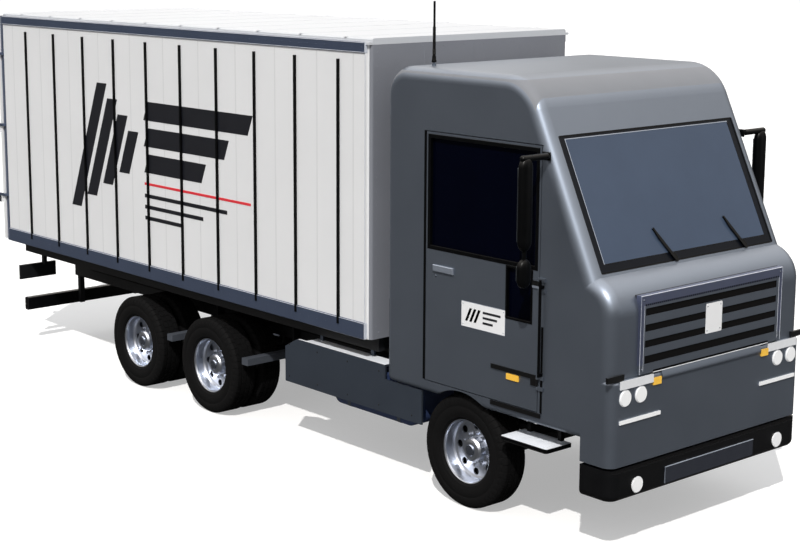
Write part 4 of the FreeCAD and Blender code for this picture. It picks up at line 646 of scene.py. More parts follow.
# front of the cab: grille louvres and slots with painted shade behind the slots, painted highlight lines on the
# grille's frame, lamp bezels, ledge, nose lip, bumper panel with a painted highlight line
front = {"face": 4.8502, "grilleFace": 4.8495, "round": ((0.907, 1.343), (1.097, 1.343)), "fog": (4.8692, 0.935, 0.602),
         "slots": ((1.582, 1.648), (1.715, 1.774), (1.845, 1.904), (1.975, 2.036)), "slotEnd": 0.872,
         "opening": (0.8875, 1.5765, 2.0555), "badge": (0.1085, 1.7095, 1.9645), "louvre": (4.8445, 4.8484),
         "behind": (4.8405, 4.8425), "edge": (0.9305, 1.504, 2.1405), "innerEdge": (0.889, 2.060),
         "panelLine": (4.8682, 0.5885, 0.5365, 0.6735), "ledge": 0.762, "lipEnd": 0.655,
         "lip": ((4.8480, 1.4250), (4.8530, 1.4260), (4.8620, 1.4300), (4.8650, 1.4380), (4.8645, 1.4460),
                 (4.8620, 1.4580), (4.8582, 1.4710), (4.8540, 1.4840), (4.8500, 1.4962), (4.8480, 1.4965))}


def makeGrille():
    f = front
    wide, low, high = f["opening"]
    gap, badgeLow, badgeHigh = f["badge"]
    face = f["grilleFace"]
    bm = bmesh.new()
    for i in range(72):
        y = -0.872 + i * 0.02456
        addSlab(bm, (face - 0.0005, y - 0.0072, 2.058), (face + 0.0008, y + 0.0072, 2.072))
    keep(bm, "grille_mesh_line", "blackTrim", "grille_dark")
    # flush louvre plates, kept clear of the badge, with a black sheet behind the slots as painted shade of the openings
    edges = [low] + [z for slot in f["slots"] for z in slot] + [high]
    x0, x1 = f["louvre"]
    bm = bmesh.new()
    for z0, z1 in zip(edges[::2], edges[1::2]):
        parts = ((-wide, wide),)
        if z1 > badgeLow and z0 < badgeHigh:
            parts = ((-wide, -gap), (gap, wide))
            for a, b in ((z0, min(z1, badgeLow)), (max(z0, badgeHigh), z1)):
                if b - a > 0.004:
                    addSlab(bm, (x0, -gap, a), (x1, gap, b))
        for y0, y1 in parts:
            addSlab(bm, (x0, y0, z0), (x1, y1, z1))
    for z0, z1 in f["slots"]:
        for y0, y1 in ((-wide, -f["slotEnd"]), (f["slotEnd"] - 0.015, wide)):
            addSlab(bm, (x0, y0, z0 - 0.002), (x1 - 0.0002, y1, z1 + 0.002))
    keep(bm, "grille_louvres", "cabPaint", "bar_grey")
    bm = bmesh.new()
    for y0, y1, z0, z1 in ((-wide, wide, low, badgeLow), (-wide, -gap, badgeLow, badgeHigh),
                           (gap, wide, badgeLow, badgeHigh), (-wide, wide, badgeHigh, high)):
        addSlab(bm, (f["behind"][0], y0, z0), (f["behind"][1], y1, z1))
    keep(bm, "grille_slot_shade", "paintedSlotShade", "grille_dark")
    # painted highlight: light lines where the bevelled edges of the grille's frame catch the light
    bm = bmesh.new()
    y, z0, z1 = f["edge"]
    addTube(bm, [(face - 0.002, *corner) for corner in ((-y, z0), (-y, z1), (y, z1), (y, z0))], 0.0035, 8)
    y, z1 = f["innerEdge"]
    for y in (-y, y):
        addTube(bm, [(face - 0.0015, y, z0 + 0.02), (face - 0.0015, y, z1)], 0.0022, 6)
    keep(bm, "grille_painted_highlight", "railLight", "grille_dark")
    bm = bmesh.new()
    for y, heights, radius, height in ((0.9, (1.54, 2.105), 0.008, 0.003), (0.085, (1.735, 1.940), 0.006, 0.0025)):
        for z in heights:
            addDome(bm, (face, y, z), (1, 0, 0), radius, height, 12, 2)
    addMirrored(bm)
    keep(bm, "grille_fixings", "nutSteel", "grille_dark")


def makeFrontTrim():
    f = front
    makeGrille()
    ahead = (1, 0, 0)
    bm = bmesh.new()
    for y, z in f["round"]:
        addRing(bm, (f["face"], y, z), ahead, 0.070, 0.0632, 0.005)
    addRing(bm, f["fog"], ahead, 0.068, 0.0622, 0.003)
    addMirrored(bm)
    keep(bm, "lamp_bezels", "lampBar", "black_plastic")
    bm = bmesh.new()
    # painted highlight: a light line along the panel's top and its edge on the truck's right, the edges that face the
    # sun
    x, y, z0, z1 = f["panelLine"]
    addTube(bm, [(x, -y, z0), (x, -y, z1), (x, y, z1)], 0.0048, 8)
    keep(bm, "bumper_panel_highlight", "handleGrey", "bar_grey")
    y = f["ledge"]
    for name, finish, slotName, low, high, soft in (
            ("ledge_light_line", "lampBar", "lamp_clear", (4.8485, -y, 1.4965), (4.8530, y, 1.5025), 0.001),
            ("ledge_dark_line", "blackTrim", "black_plastic", (4.8488, -y, 1.5050), (4.8515, y, 1.5200), 0.0005)):
        bm = bmesh.new()
        addSlab(bm, low, high, soft, 1)
        keep(bm, name, finish, slotName)
    # rolled lip under the light line
    bm = bmesh.new()
    ends = [[bm.verts.new((x, y, z)) for x, z in f["lip"]] for y in (-f["lipEnd"], f["lipEnd"])]
    joinRings(bm, ends)
    for end in ends:
        bm.faces.new(end)
    keep(bm, "nose_lip", "cabPaint", "bar_grey", angle=60)
    print("cab front trim made")


# outer trim of the cab's sides: door lines, window rubbers, lock, mirror bolts, step
cabSide = {"skin": 1.2502, "lines": ((2.659, 2.6885, 1.080, 3.292), (4.078, 4.102, 1.075, 1.805)),
           "mainWindow": (2.735, 4.000, 2.288, 3.240), "kerbWindow": (3.676, 3.962, 1.817, 2.248),
           "rubber": 0.026, "lap": 0.008, "lock": (2.815, 2.03), "step": (3.700, 4.190, 0.770, 0.800),
           "gripTop": 0.8052}


def addFrame(bm, window, out, lap, near, far):
    # a picture-frame ring round a window, from the skin out
    x0, x1, z0, z1 = window
    loops = []
    for grow, y in ((out, near), (out, far - 0.0015), (out - 0.0025, far), (-lap + 0.0025, far),
                    (-lap, far - 0.0015), (-lap, near)):
        loops.append([bm.verts.new((x, y, z)) for x, z in (
            (x0 - grow, z0 - grow), (x1 + grow, z0 - grow), (x1 + grow, z1 + grow), (x0 - grow, z1 + grow))])
    joinRings(bm, loops, True)


def makeCabSideTrim():
    c = cabSide
    y, lap, out = c["skin"], c["lap"], (0, 1, 0)
    bm = bmesh.new()
    for x0, x1, z0, z1 in c["lines"]:
        addSlab(bm, (x0, y, z0), (x1, y + 0.002, z1), 0.0008, 1)
    keepSides(bm, "door_lines_*", "blackTrim", "black_plastic")
    bm = bmesh.new()
    for window, wide, far in ((c["mainWindow"], c["rubber"], 1.2545), (c["kerbWindow"], 0.012, 1.2540)):
        addFrame(bm, window, wide, lap, 1.2503, far)
        addFrame(bm, window, -0.0006, lap - 0.001, 1.2245, 1.2506)
    keepSides(bm, "window_rubber_*", "blackTrim", "black_plastic", "cab_door_*")
    bm = bmesh.new()
    x, z = c["lock"]
    addSpun(bm, [(0, 0), (0.011, 0), (0.011, 0.002), (0.008, 0.0035), (0, 0.0035)], (x, y, z), out, 24)
    addSlab(bm, (x - 0.002, y + 0.0033, z - 0.006), (x + 0.002, y + 0.004, z + 0.006))
    keepSides(bm, "door_lock_*", "nutSteel", "bar_grey", "cab_door_*")
    bm = bmesh.new()
    for z in (3.196, 3.232):
        addDome(bm, (4.150, 1.272, z), out, 0.007, 0.004, 12, 2)
    for z in (1.408, 2.140):
        addDome(bm, (4.089, 1.285, z), out, 0.0125, 0.004, 16, 3)
    keepSides(bm, "mirror_foot_bolts_*", "blackTrim", "bar_grey")
    # grip ribs on the step
    bm = bmesh.new()
    z = c["gripTop"]
    for i in range(9):
        y = 1.032 + i * 0.029
        addSlab(bm, (3.715, y, z - 0.0004), (4.175, y + 0.008, z + 0.0022), 0.0008, 1)
    keepSides(bm, "step_grip_*", "stepWhite", "step_white")
    bm = bmesh.new()
    addFrame(bm, c["step"], 0.004, 0.004, 1.3002, 1.3024)
    keepSides(bm, "step_edge_*", "blackTrim", "step_white")
    print("cab side trim made")


# mirrors: domed housings on a thick arm, each with a glass facing back
mirror = {"x": 4.1295, "y": 1.5225, "half": (0.0425, 0.068), "tall": (2.471, 3.226), "small": (2.170, 2.410),
          "armZ": 3.214, "arm": 0.027, "armFrom": 1.285, "armTo": 1.56, "dome": 0.085}


def addHousing(bm, z0, z1, steps=40):
    m = mirror
    dome = min(m["dome"], (z1 - z0) / 3)
    turns = [math.pi / 2 * k / 8 for k in range(9)]
    heights = [(z0 + dome * (1 - math.cos(t)), math.sin(t)) for t in turns]
    heights += [(z1 - dome * (1 - math.cos(t)), math.sin(t)) for t in reversed(turns)]
    rings = []
    for z, share in heights:
        ring = []
        for t in (2 * math.pi * i / steps for i in range(steps if share > 0.01 else 1)):
            cx, sy = math.cos(t) if share > 0.01 else 0, math.sin(t)
            ring.append(bm.verts.new((m["x"] + m["half"][0] * share ** 0.6 * math.copysign(abs(cx) ** 0.8, cx),
                                      m["y"] + m["half"][1] * share * math.copysign(abs(sy) ** 0.95, sy), z)))
        rings.append(ring)
    joinRings(bm, rings)


def makeMirrors():
    m = mirror
    x, y, armZ = m["x"], m["y"], m["armZ"]
    bm = bmesh.new()
    addHousing(bm, m["tall"][0], m["tall"][1] - 0.004)
    addHousing(bm, *m["small"])
    addTube(bm, [(x, y, m["small"][1] - 0.03), (x, y, m["tall"][0] + 0.03)], 0.018, 16)
    # arm with rounded ends, and its foot on the pillar
    addTube(bm, [(x, m["armFrom"], armZ), (x, m["armTo"], armZ)], m["arm"], 20)
    addDome(bm, (x, m["armFrom"], armZ), (0, -1, 0), m["arm"], 0.020, 20, 4)
    addDome(bm, (x, m["armTo"], armZ), (0, 1, 0), m["arm"], 0.020, 20, 4)
    addSlab(bm, (4.060, 1.2503, 3.176), (4.147, 1.268, 3.244), 0.006, 3)
    addSlab(bm, (4.110, 1.262, 3.198), (4.149, 1.290, 3.230), 0.006, 2)
    keepSides(bm, "mirror_housings_*", "blackTrim", "mirror_housing", angle=50, insteadOf="mirrors")
    bm = bmesh.new()
    for z0, z1 in ((m["tall"][0] + 0.075, m["tall"][1] - 0.085), (m["small"][0] + 0.06, m["small"][1] - 0.06)):
        addSlab(bm, (x - 0.0435, y - 0.048, z0), (x - 0.034, y + 0.048, z1), 0.004, 2)
    keepSides(bm, "mirror_faces_*", "mirrorGlass", "mirror_housing", insteadOf="mirrors")
    print("mirrors made")


# aerial: black sleeve and coil foot around the thin rod on the roof
aerial = {"place": (2.501, -1.0, 3.856), "height": 0.5288, "foot": 0.022, "low": 0.0135, "high": 0.0100}


def makeAerial():
    top, foot, low, high = (aerial[name] for name in ("height", "foot", "low", "high"))
    bm = bmesh.new()
    profiles = [[(0, -0.002), (foot, -0.002), (foot, 0.014), (foot * 0.82, 0.022), (foot * 0.82, 0.046), (low, 0.060),
                 (low, 0.30), (high, 0.31), (high, top - 0.004), (high * 0.6, top), (0, top)]]
    for z in (0.070 + k * 0.012 for k in range(4)):
        profiles.append([(0, z), (low + 0.002, z), (low + 0.0035, z + 0.003), (low + 0.002, z + 0.006), (0, z + 0.006)])
    for profile in profiles:
        addSpun(bm, profile, aerial["place"], (0, 0, 1), 20)
    keep(bm, "aerial_sleeve", "blackTrim", "black_plastic")
    print("aerial made")


# seats: crowned cushions with rolled side bolsters and piping, on a boxed base
seat = {"slack": 0.98, "voxel": 0.008, "pipe": 0.982, "cord": 0.0042, "pressure": 4, "steps": 20, "middle": 0.73,
        "baseX": (2.745, 3.150), "baseZ": (1.1203, 1.440), "cushion": ((2.965, 1.520), (0.225, 0.238, 0.080)),
        "backFoot": (2.782, 1.588), "backTop": (2.665, 2.140), "backHalf": (0.060, 0.232),
        "restAt": (2.642, 2.232), "restHalf": (0.078, 0.135, 0.10), "arm": 0.236}


def cushionPoint(u, v, top, half, crown, dip):
    # u and v run -1..1 over the cushion's face; the sides roll in, the middle dips between the bolsters
    edge = (1 - abs(u) ** 5) ** 0.4 * (1 - abs(v) ** 5) ** 0.4
    shrink = 1 - 0.02 * (1 - edge)
    swell = top * (half[2] * 0.35 + crown * edge)
    if top > 0:
        swell += 0.006 * math.cos(u * math.pi * 4.5) * edge if abs(v) < 0.62 else 0
        swell += dip * math.exp(-((abs(v) - 0.76) / 0.16) ** 2) * edge
    return Vector((half[0] * u * shrink, half[1] * v * shrink, swell))


def addCushion(bm, half, place, crown=0.045, dip=0.022, cells=30):
    # gives back the line of the piping
    steps = [math.sin(math.pi / 2 * (2 * i / cells - 1)) for i in range(cells + 1)]
    faces = [[[bm.verts.new(place @ cushionPoint(u, v, top, half, rise, dip)) for v in steps] for u in steps]
             for top, rise in ((1, crown), (-1, 0.012))]
    for grid in faces:
        for i in range(cells):
            for j in range(cells):
                bm.faces.new((grid[i][j], grid[i + 1][j], grid[i + 1][j + 1], grid[i][j + 1]))
    there, back = range(cells), range(cells, 0, -1)
    rim = [(i, 0) for i in there] + [(cells, j) for j in there] + [(i, cells) for i in back] + [(0, j) for j in back]
    joinRings(bm, [[grid[i][j] for i, j in rim] for grid in faces])
    quarter = ((-0.90, -0.985), (0, -1.0), (0.90, -0.985), (0.985, -0.90), (1.0, 0), (0.985, 0.90))
    return [place @ Vector((half[0] * seat["pipe"] * x, half[1] * seat["pipe"] * y, half[2] * 0.33))
            for x, y in quarter + tuple((-x, -y) for x, y in quarter)]


def stuffPad(thing, cap):
    # cloth simulation: the pad starts a little slack, is blown up like stuffed fabric, and the swelling is capped
    mesh = thing.data
    middle = sum((v.co for v in mesh.vertices), Vector()) / len(mesh.vertices)
    for v in mesh.vertices:
        v.co = middle + (v.co - middle) * seat["slack"]
    shape = thing.modifiers.new("evenFabric", "REMESH")
    shape.mode, shape.voxel_size, shape.use_smooth_shade = "VOXEL", seat["voxel"], True
    fresh = bpy.data.meshes.new_from_object(thing.evaluated_get(bpy.context.evaluated_depsgraph_get()))
    thing.modifiers.remove(shape)
    fresh.name = mesh.name
    thing.data = fresh
    fresh.materials.clear()
    for mat in mesh.materials:
        fresh.materials.append(mat)
    cloth = thing.modifiers.new("stuffing", "CLOTH")
    cloth.settings.quality, cloth.settings.mass = 4, 0.3
    cloth.settings.use_pressure, cloth.settings.uniform_pressure_force = True, seat["pressure"]
    cloth.settings.effector_weights.gravity = 0
    cloth.point_cache.frame_start, cloth.point_cache.frame_end = 1, seat["steps"]
    for step in range(seat["steps"]):
        bpy.context.scene.frame_set(step + 1)
    blown = thing.evaluated_get(bpy.context.evaluated_depsgraph_get())
    for v, w in zip(fresh.vertices, blown.to_mesh().vertices):
        shift = w.co - v.co
        if shift.length > cap:
            shift *= cap / shift.length
        v.co += shift
    blown.to_mesh_clear()
    thing.modifiers.remove(cloth)
    bpy.context.scene.frame_set(1)
    for face in fresh.polygons:
        face.use_smooth = True
    fresh.update()
    print("stuffed", thing.name)


def addPiping(bm, thing, line, place):
    # the cord along the seam lies on the stuffed pad
    skin = BVHTree.FromPolygons([v.co for v in thing.data.vertices], [tuple(f.vertices) for f in thing.data.polygons])
    laid = []
    for a, b in zip(line, line[1:] + line[:1]):
        for k in range(7):
            spot, normal = skin.find_nearest(a.lerp(b, k / 7))[:2]
            laid.append(place.inverted() @ (spot + normal * 0.0012))
    first = len(bm.verts)
    addTube(bm, laid, seat["cord"], 8, True)
    bm.verts.ensure_lookup_table()
    bmesh.ops.transform(bm, matrix=place, verts=bm.verts[first:])


def makeSeatBase(side, y):
    (x0, x1), (z0, z1), reach = seat["baseX"], seat["baseZ"], seat["arm"]
    bm = bmesh.new()
    for low, high, half, soft, steps in (
            ((x0, z0), (x1, z1), 0.205, 0.02, 3), ((x0 + 0.03, 1.15), (x1 - 0.03, 1.19), 0.225, 0.006, 2),
            ((x0 + 0.012, 1.436), (x1 + 0.016, 1.470), 0.212, 0.010, 2),
            ((2.770, 1.438), (2.822, 1.464), 0.243, 0.008, 2),
            *(((x1 - 0.001, 1.22 + k * 0.04), (x1 + 0.004, 1.232 + k * 0.04), 0.17, 0.001, 1) for k in range(5))):
        addSlab(bm, (low[0], y - half, low[1]), (high[0], y + half, high[1]), soft, steps)
    # recliner arms that carry the back
    for way in (-1, 1):
        arm = y + way * reach
        addTube(bm, [(2.796, arm, 1.442), (2.762, arm, 1.600), (2.716, arm, 1.850)], 0.011, 12)
        addDome(bm, (2.784, arm + way * 0.008, 1.500), (0, way, 0), 0.026, 0.012, 24, 4)
    for z, x in ((1.640, 2.716), (1.835, 2.676)):
        bend = ((0.038, -reach), (0, -0.18), (0, 0.18), (0.038, reach))
        addTube(bm, [(x + dx, y + dy, z) for dx, dy in bend], 0.008, 10)
    keep(bm, "seat_base_" + side, "dashPlastic", "dash_plastic", angle=35, insteadOf="seats")


def makeSeats():
    s = seat
    (x0, z0), (x1, z1) = s["backFoot"], s["backTop"]
    # the back's face looks forwards: local x runs up the back, local z comes forwards
    turn = (Matrix.Rotation(-math.atan2(x0 - x1, z1 - z0), 4, "Y")
            @ Matrix(((0, 0, 1, 0), (0, 1, 0, 0), (1, 0, 0, 0), (0, 0, 0, 1))))
    length = math.hypot(x1 - x0, z1 - z0)
    (cushionX, cushionZ), cushionHalf = s["cushion"]
    for side, y in (("right", -s["middle"]), ("left", s["middle"])):
        makeSeatBase(side, y)
        cords = []
        for name, finish, half, place, swell, cap, fill in (
                ("cushion", "seatCloth", cushionHalf, Matrix.Translation((cushionX, y, cushionZ - 0.02)),
                 (), 0.010, 0.8),
                ("back", "seatCloth", (length / 2 + 0.02, s["backHalf"][1], s["backHalf"][0] * 1.3),
                 Matrix.Translation(((x0 + x1) / 2, y, (z0 + z1) / 2 + 0.02)) @ turn, (0.040, 0.024), 0.010, 0.8),
                ("headrest", "seatLeather", s["restHalf"],
                 Matrix.Translation((s["restAt"][0], y, s["restAt"][1])) @ turn, (0.028, 0.004, 20), 0.008, 0.9)):
            bm = bmesh.new()
            line = addCushion(bm, half, place, *swell)
            pad = keep(bm, "seat_%s_%s" % (name, side), finish, "seat_fabric", angle=60, insteadOf="seats")
            stuffPad(pad, cap)
            cords.append((pad, line, place))
        bm = bmesh.new()
        for cord in cords:
            addPiping(bm, *cord)
        for dy in (-0.05, 0.05):
            addTube(bm, [(2.662, y + dy, 2.10), (2.650, y + dy, 2.20)], 0.006, 8)
        # belt buckle on its stalk
        addTube(bm, [(2.90, y + 0.222, 1.42), (2.86, y + 0.232, 1.52), (2.84, y + 0.238, 1.60)], 0.009, 8)
        addSlab(bm, (2.822, y + 0.224, 1.60), (2.858, y + 0.248, 1.675), 0.005, 2)
        keep(bm, "seat_piping_" + side, "seatLeather", "seat_fabric", angle=45, insteadOf="seats")
    print("seats made")


# inside of the cab: dials, vents, switches, glove box, pedals, mats, visors, lining
inside = {"dashFace": 4.1196, "dials": ((0.635, 1.935, 0.062), (0.825, 1.935, 0.062)),
          "vents": (-1.02, -0.42, 0.36, 1.06),
          "pedals": ((0.56, 0.075, 0.04), (0.70, 0.075, 0.04), (0.86, 0.10, 0.028)), "floorTop": 1.1203,
          "hourMarks": 11}


def makeDashboard():
    n = inside
    face = n["dashFace"]
    bm = bmesh.new()
    for y, z, r in n["dials"]:
        addRing(bm, (face, y, z), (-1, 0, 0), r, r - 0.008, 0.008)
    addRing(bm, (face, 0.73, 1.985), (-1, 0, 0), 0.026, 0.021, 0.006)
    # vents, switches, radio, glove box and its catch: y, z, how far they stand out, edge
    plates = [(y - 0.075, y + 0.075, 1.95, 2.005, 0.006, 0, 0.004) for y in n["vents"]]
    plates += [(0.002 + k * 0.048, 0.038 + k * 0.048, 1.845, 1.872, 0.007, 0, 0.003) for k in range(6)]
    plates += [(0.0, 0.28, 1.71, 1.80, 0.005, 0, 0.004), (-0.98, -0.36, 1.60, 1.82, 0.005, 0, 0.006),
               (-0.71, -0.63, 1.765, 1.785, 0.012, 0.004, 0.003)]
    for y0, y1, z0, z1, out, back, soft in plates:
        addSlab(bm, (face - out, y0, z0), (face - back, y1, z1), soft, 2)
    keep(bm, "dash_fittings", "seatLeather", "dash_plastic", angle=35)
    bm = bmesh.new()
    for y, z, r in n["dials"]:
        for k in range(n["hourMarks"]):
            t = math.radians(-120 + 24 * k)
            addTube(bm, [(face - 0.0015, y + math.sin(t) * r * share, z + math.cos(t) * r * share)
                         for share in (0.70, 0.82)], 0.0011, 5)
        addTube(bm, [(face - 0.003, y, z), (face - 0.003, y - r * 0.45, z - r * 0.35)], 0.0014, 6)
        addDome(bm, (face - 0.002, y, z), (-1, 0, 0), 0.006, 0.003, 14, 3)
    for y in n["vents"]:
        for z in (1.959 + i * 0.012 for i in range(4)):
            addSlab(bm, (face - 0.0075, y - 0.066, z), (face - 0.0055, y + 0.066, z + 0.003))
    keep(bm, "dash_markings", "stepWhite", "dash_plastic", angle=35)


def makeCabInside():
    n = inside
    makeDashboard()
    floor = n["floorTop"]
    bm = bmesh.new()
    addSlab(bm, (3.22, 0.47, floor), (4.02, 1.10, floor + 0.006), 0.002, 1)
    for x in (3.26 + 0.062 * k for k in range(12)):
        addSlab(bm, (x, 0.50, floor + 0.005), (x + 0.02, 1.07, floor + 0.009), 0.001, 1)
    addMirrored(bm)
    for y, tall, wide in n["pedals"]:
        addTube(bm, [(4.06, y, 1.300), (4.115, y, 1.40), (4.125, y, 1.53)], 0.008, 8)
        addSlab(bm, (4.045, y - wide, 1.300 - tall / 2), (4.062, y + wide, 1.300 + tall / 2), 0.004, 2)
    keep(bm, "pedals_and_mats", "blackTrim", "black_plastic", angle=35)
    bm = bmesh.new()
    addSlab(bm, (3.78, 0.22, 3.455), (3.93, 0.98, 3.478), 0.009, 3)
    addMirrored(bm)
    addSlab(bm, (2.35, -1.06, 3.742), (3.35, 1.06, 3.762), 0.008, 2)
    for x in (2.60, 3.10):
        addSlab(bm, (x - 0.09, -0.12, 3.728), (x + 0.09, 0.12, 3.744), 0.006, 2)
    keep(bm, "roof_lining", "seatLeather", "seat_fabric", angle=35)
    bm = bmesh.new()
    for low, high, soft, steps in (((2.76, 1.180, 1.14), (3.64, 1.1898, 2.20), 0.004, 2),
                                   ((3.64, 1.180, 1.14), (3.98, 1.1898, 1.77), 0.004, 2),
                                   ((2.84, 1.135, 1.745), (3.46, 1.182, 1.80), 0.014, 3),
                                   ((2.86, 1.140, 1.22), (3.56, 1.182, 1.235), 0.004, 2),
                                   ((2.86, 1.140, 1.22), (3.56, 1.146, 1.36), 0.002, 1)):
        addSlab(bm, low, high, soft, steps)
    addTube(bm, [(2.88, 1.176, 1.98), (2.95, 1.160, 1.98), (3.04, 1.160, 1.98)], 0.007, 8)
    keepSides(bm, "door_lining_*", "dashPlastic", "dash_plastic", "cab_door_*", 35)
    print("cab inside made")


# cargo box: faint panel ribs, painted highlight lines along the rails' edges and the box's front corners, rivets, roof
# seams, front wall ribs, tie rails inside
cargo = {"wall": 1.298, "rail": 1.310, "rear": -4.716, "front": 1.925, "low": 1.300, "sill": 1.458, "headLow": 3.915,
         "headTop": 4.016, "roof": 4.047, "firstStrip": 1.555, "pitch": 0.6357, "frontWall": 1.975, "firstRib": 1.76,
         "rivets": (52, 0.128, (1.379, 3.966)), "seams": (10, 1.60, 0.6595), "tieRails": (1.75, 2.50, 3.25),
         "bows": (9, 1.55, 0.72), "joints": (15, -1.19, 0.17)}


def makeCargoSides():
    c = cargo
    y, sill, head, rear, front = c["wall"], c["sill"], c["headLow"], c["rear"], c["front"]
    bm = bmesh.new()
    places = [c["firstStrip"] - c["pitch"] * (k - 0.5) for k in range(1, 11)]
    for x in [c["firstRib"]] + [x for x in places if x > rear + 0.03]:
        addSlab(bm, (x - 0.010, y, sill + 0.004), (x + 0.010, y + 0.0007, head - 0.004))
    keepSides(bm, "cargo_panel_ribs_*", "panelRib", "box_white")
    # painted highlight: light lines along the rails' edges and up the box's front corners
    bm = bmesh.new()
    for z in (sill - 0.008, head + 0.008, c["headTop"] - 0.008):
        addTube(bm, [(rear + 0.002, c["rail"] + 0.0004, z), (front - 0.002, c["rail"] + 0.0004, z)], 0.0022, 6)
    for z0, z1 in ((c["low"], sill), (head, c["headTop"])):
        addSlab(bm, (front, 1.274, z0 + 0.004), (front + 0.004, c["rail"], z1 - 0.004), 0.0015, 1)
    addTube(bm, [(front - 0.002, y + 0.001, sill), (front - 0.002, y + 0.001, head)], 0.003, 6)
    keepSides(bm, "cargo_rail_lines_*", "railLight", "box_white")
    bm = bmesh.new()
    count, pitch, rows = c["rivets"]
    for k in range(count):
        for z in rows:
            addDome(bm, (rear + 0.07 + pitch * k, c["rail"], z), (0, 1, 0), 0.006, 0.0024, 8, 2)
    keepSides(bm, "cargo_rivets_*", "railBlue", "rail_blue")


def makeCargoTrim():
    c = cargo
    makeCargoSides()
    bm = bmesh.new()
    count, start, pitch = c["seams"]
    for x in (start - pitch * k for k in range(count)):
        addSlab(bm, (x - 0.014, -1.270, c["roof"] - 0.0005), (x + 0.014, 1.270, c["roof"] + 0.0018), 0.0008, 1)
    keep(bm, "roof_seams", "roofWhite", "box_white")
    bm = bmesh.new()
    x = c["frontWall"]
    for y in (-0.62, 0.0, 0.62):
        addSlab(bm, (x - 0.0005, y - 0.012, 1.42), (x + 0.0022, y + 0.012, 3.93), 0.0008, 1)
    rivets = [(y, 1.42 + 0.125 * k) for y in (-1.20, 1.20) for k in range(21)]
    rivets += [(-1.17 + 0.13 * k, z) for z in (1.36, 3.955) for k in range(19)]
    for y, z in rivets:
        addDome(bm, (x, y, z), (1, 0, 0), 0.007, 0.0028, 8, 2)
    keep(bm, "front_wall_ribs", "frontWallGrey", "box_white")
    # hold: tie rails with their rings, roof bows, and the joints of the floor planks
    bm = bmesh.new()
    for z in c["tieRails"]:
        addSlab(bm, (-4.68, 1.258, z), (1.88, 1.2695, z + 0.09), 0.003, 1)
        for k in range(16):
            addRing(bm, (-4.5 + 0.41 * k, 1.258, z + 0.045), (0, -1, 0), 0.026, 0.012, 0.003, 16)
    addMirrored(bm)
    count, start, pitch = c["bows"]
    for x in (start - pitch * k for k in range(count)):
        addSlab(bm, (x - 0.02, -1.255, 3.948), (x + 0.02, 1.255, 3.988), 0.004, 1)
    keep(bm, "hold_tie_rails", "bareGrey", "bar_grey")
    bm = bmesh.new()
    count, start, pitch = c["joints"]
    for y in (start + pitch * k for k in range(count)):
        addSlab(bm, (-4.70, y - 0.002, 1.4095), (1.90, y + 0.002, 1.4106))
    keep(bm, "hold_floor_joints", "frameBlack", "frame_black")
    print("cargo trim made")


# rear doors: ribs, gasket, lock rod guides, handles, hinge bolts, reflectors; plate and lamp lines
rearDoor = {"face": -4.8184, "inner": 0.012, "outer": 1.262, "low": 1.322, "high": 3.989, "rods": (0.220, 0.900),
            "hinges": (1.805, 2.658, 3.511), "hingeFace": -4.8303, "ribs": (1.66, 2.08, 2.50, 2.92, 3.34, 3.72),
            "guides": (1.46, 2.02, 2.90, 3.82)}


def makeDoorFittings():
    d = rearDoor
    face, behind = d["face"], (-1, 0, 0)
    bm = bmesh.new()
    for y in d["rods"]:
        for z in d["guides"]:
            addSlab(bm, (face - 0.044, y - 0.028, z - 0.022), (face, y + 0.028, z + 0.022), 0.007, 2)
            for across in (y - 0.040, y + 0.040):
                addSlab(bm, (face - 0.005, across - 0.014, z - 0.018), (face, across + 0.014, z + 0.018), 0.002, 1)
                addDome(bm, (face - 0.005, across, z), behind, 0.006, 0.003, 8, 2)
        # swing handle and its keeper
        bend = ((0.034, 0, 1.78), (0.040, 0.05, 1.775), (0.040, 0.22, 1.76))
        addTube(bm, [(face - out, y + along, z) for out, along, z in bend], 0.009, 10)
        addSlab(bm, (face - 0.030, y + 0.205, 1.735), (face, y + 0.245, 1.785), 0.005, 2)
    for z in d["hinges"]:
        for y in (1.215, 1.155):
            for lift in (-0.022, 0.022):
                addDome(bm, (d["hingeFace"], y, z + lift), behind, 0.008, 0.004, 8, 2)
    keepSides(bm, "rear_door_fittings_*", "bareGrey", "bar_grey", "cargo_door_*")


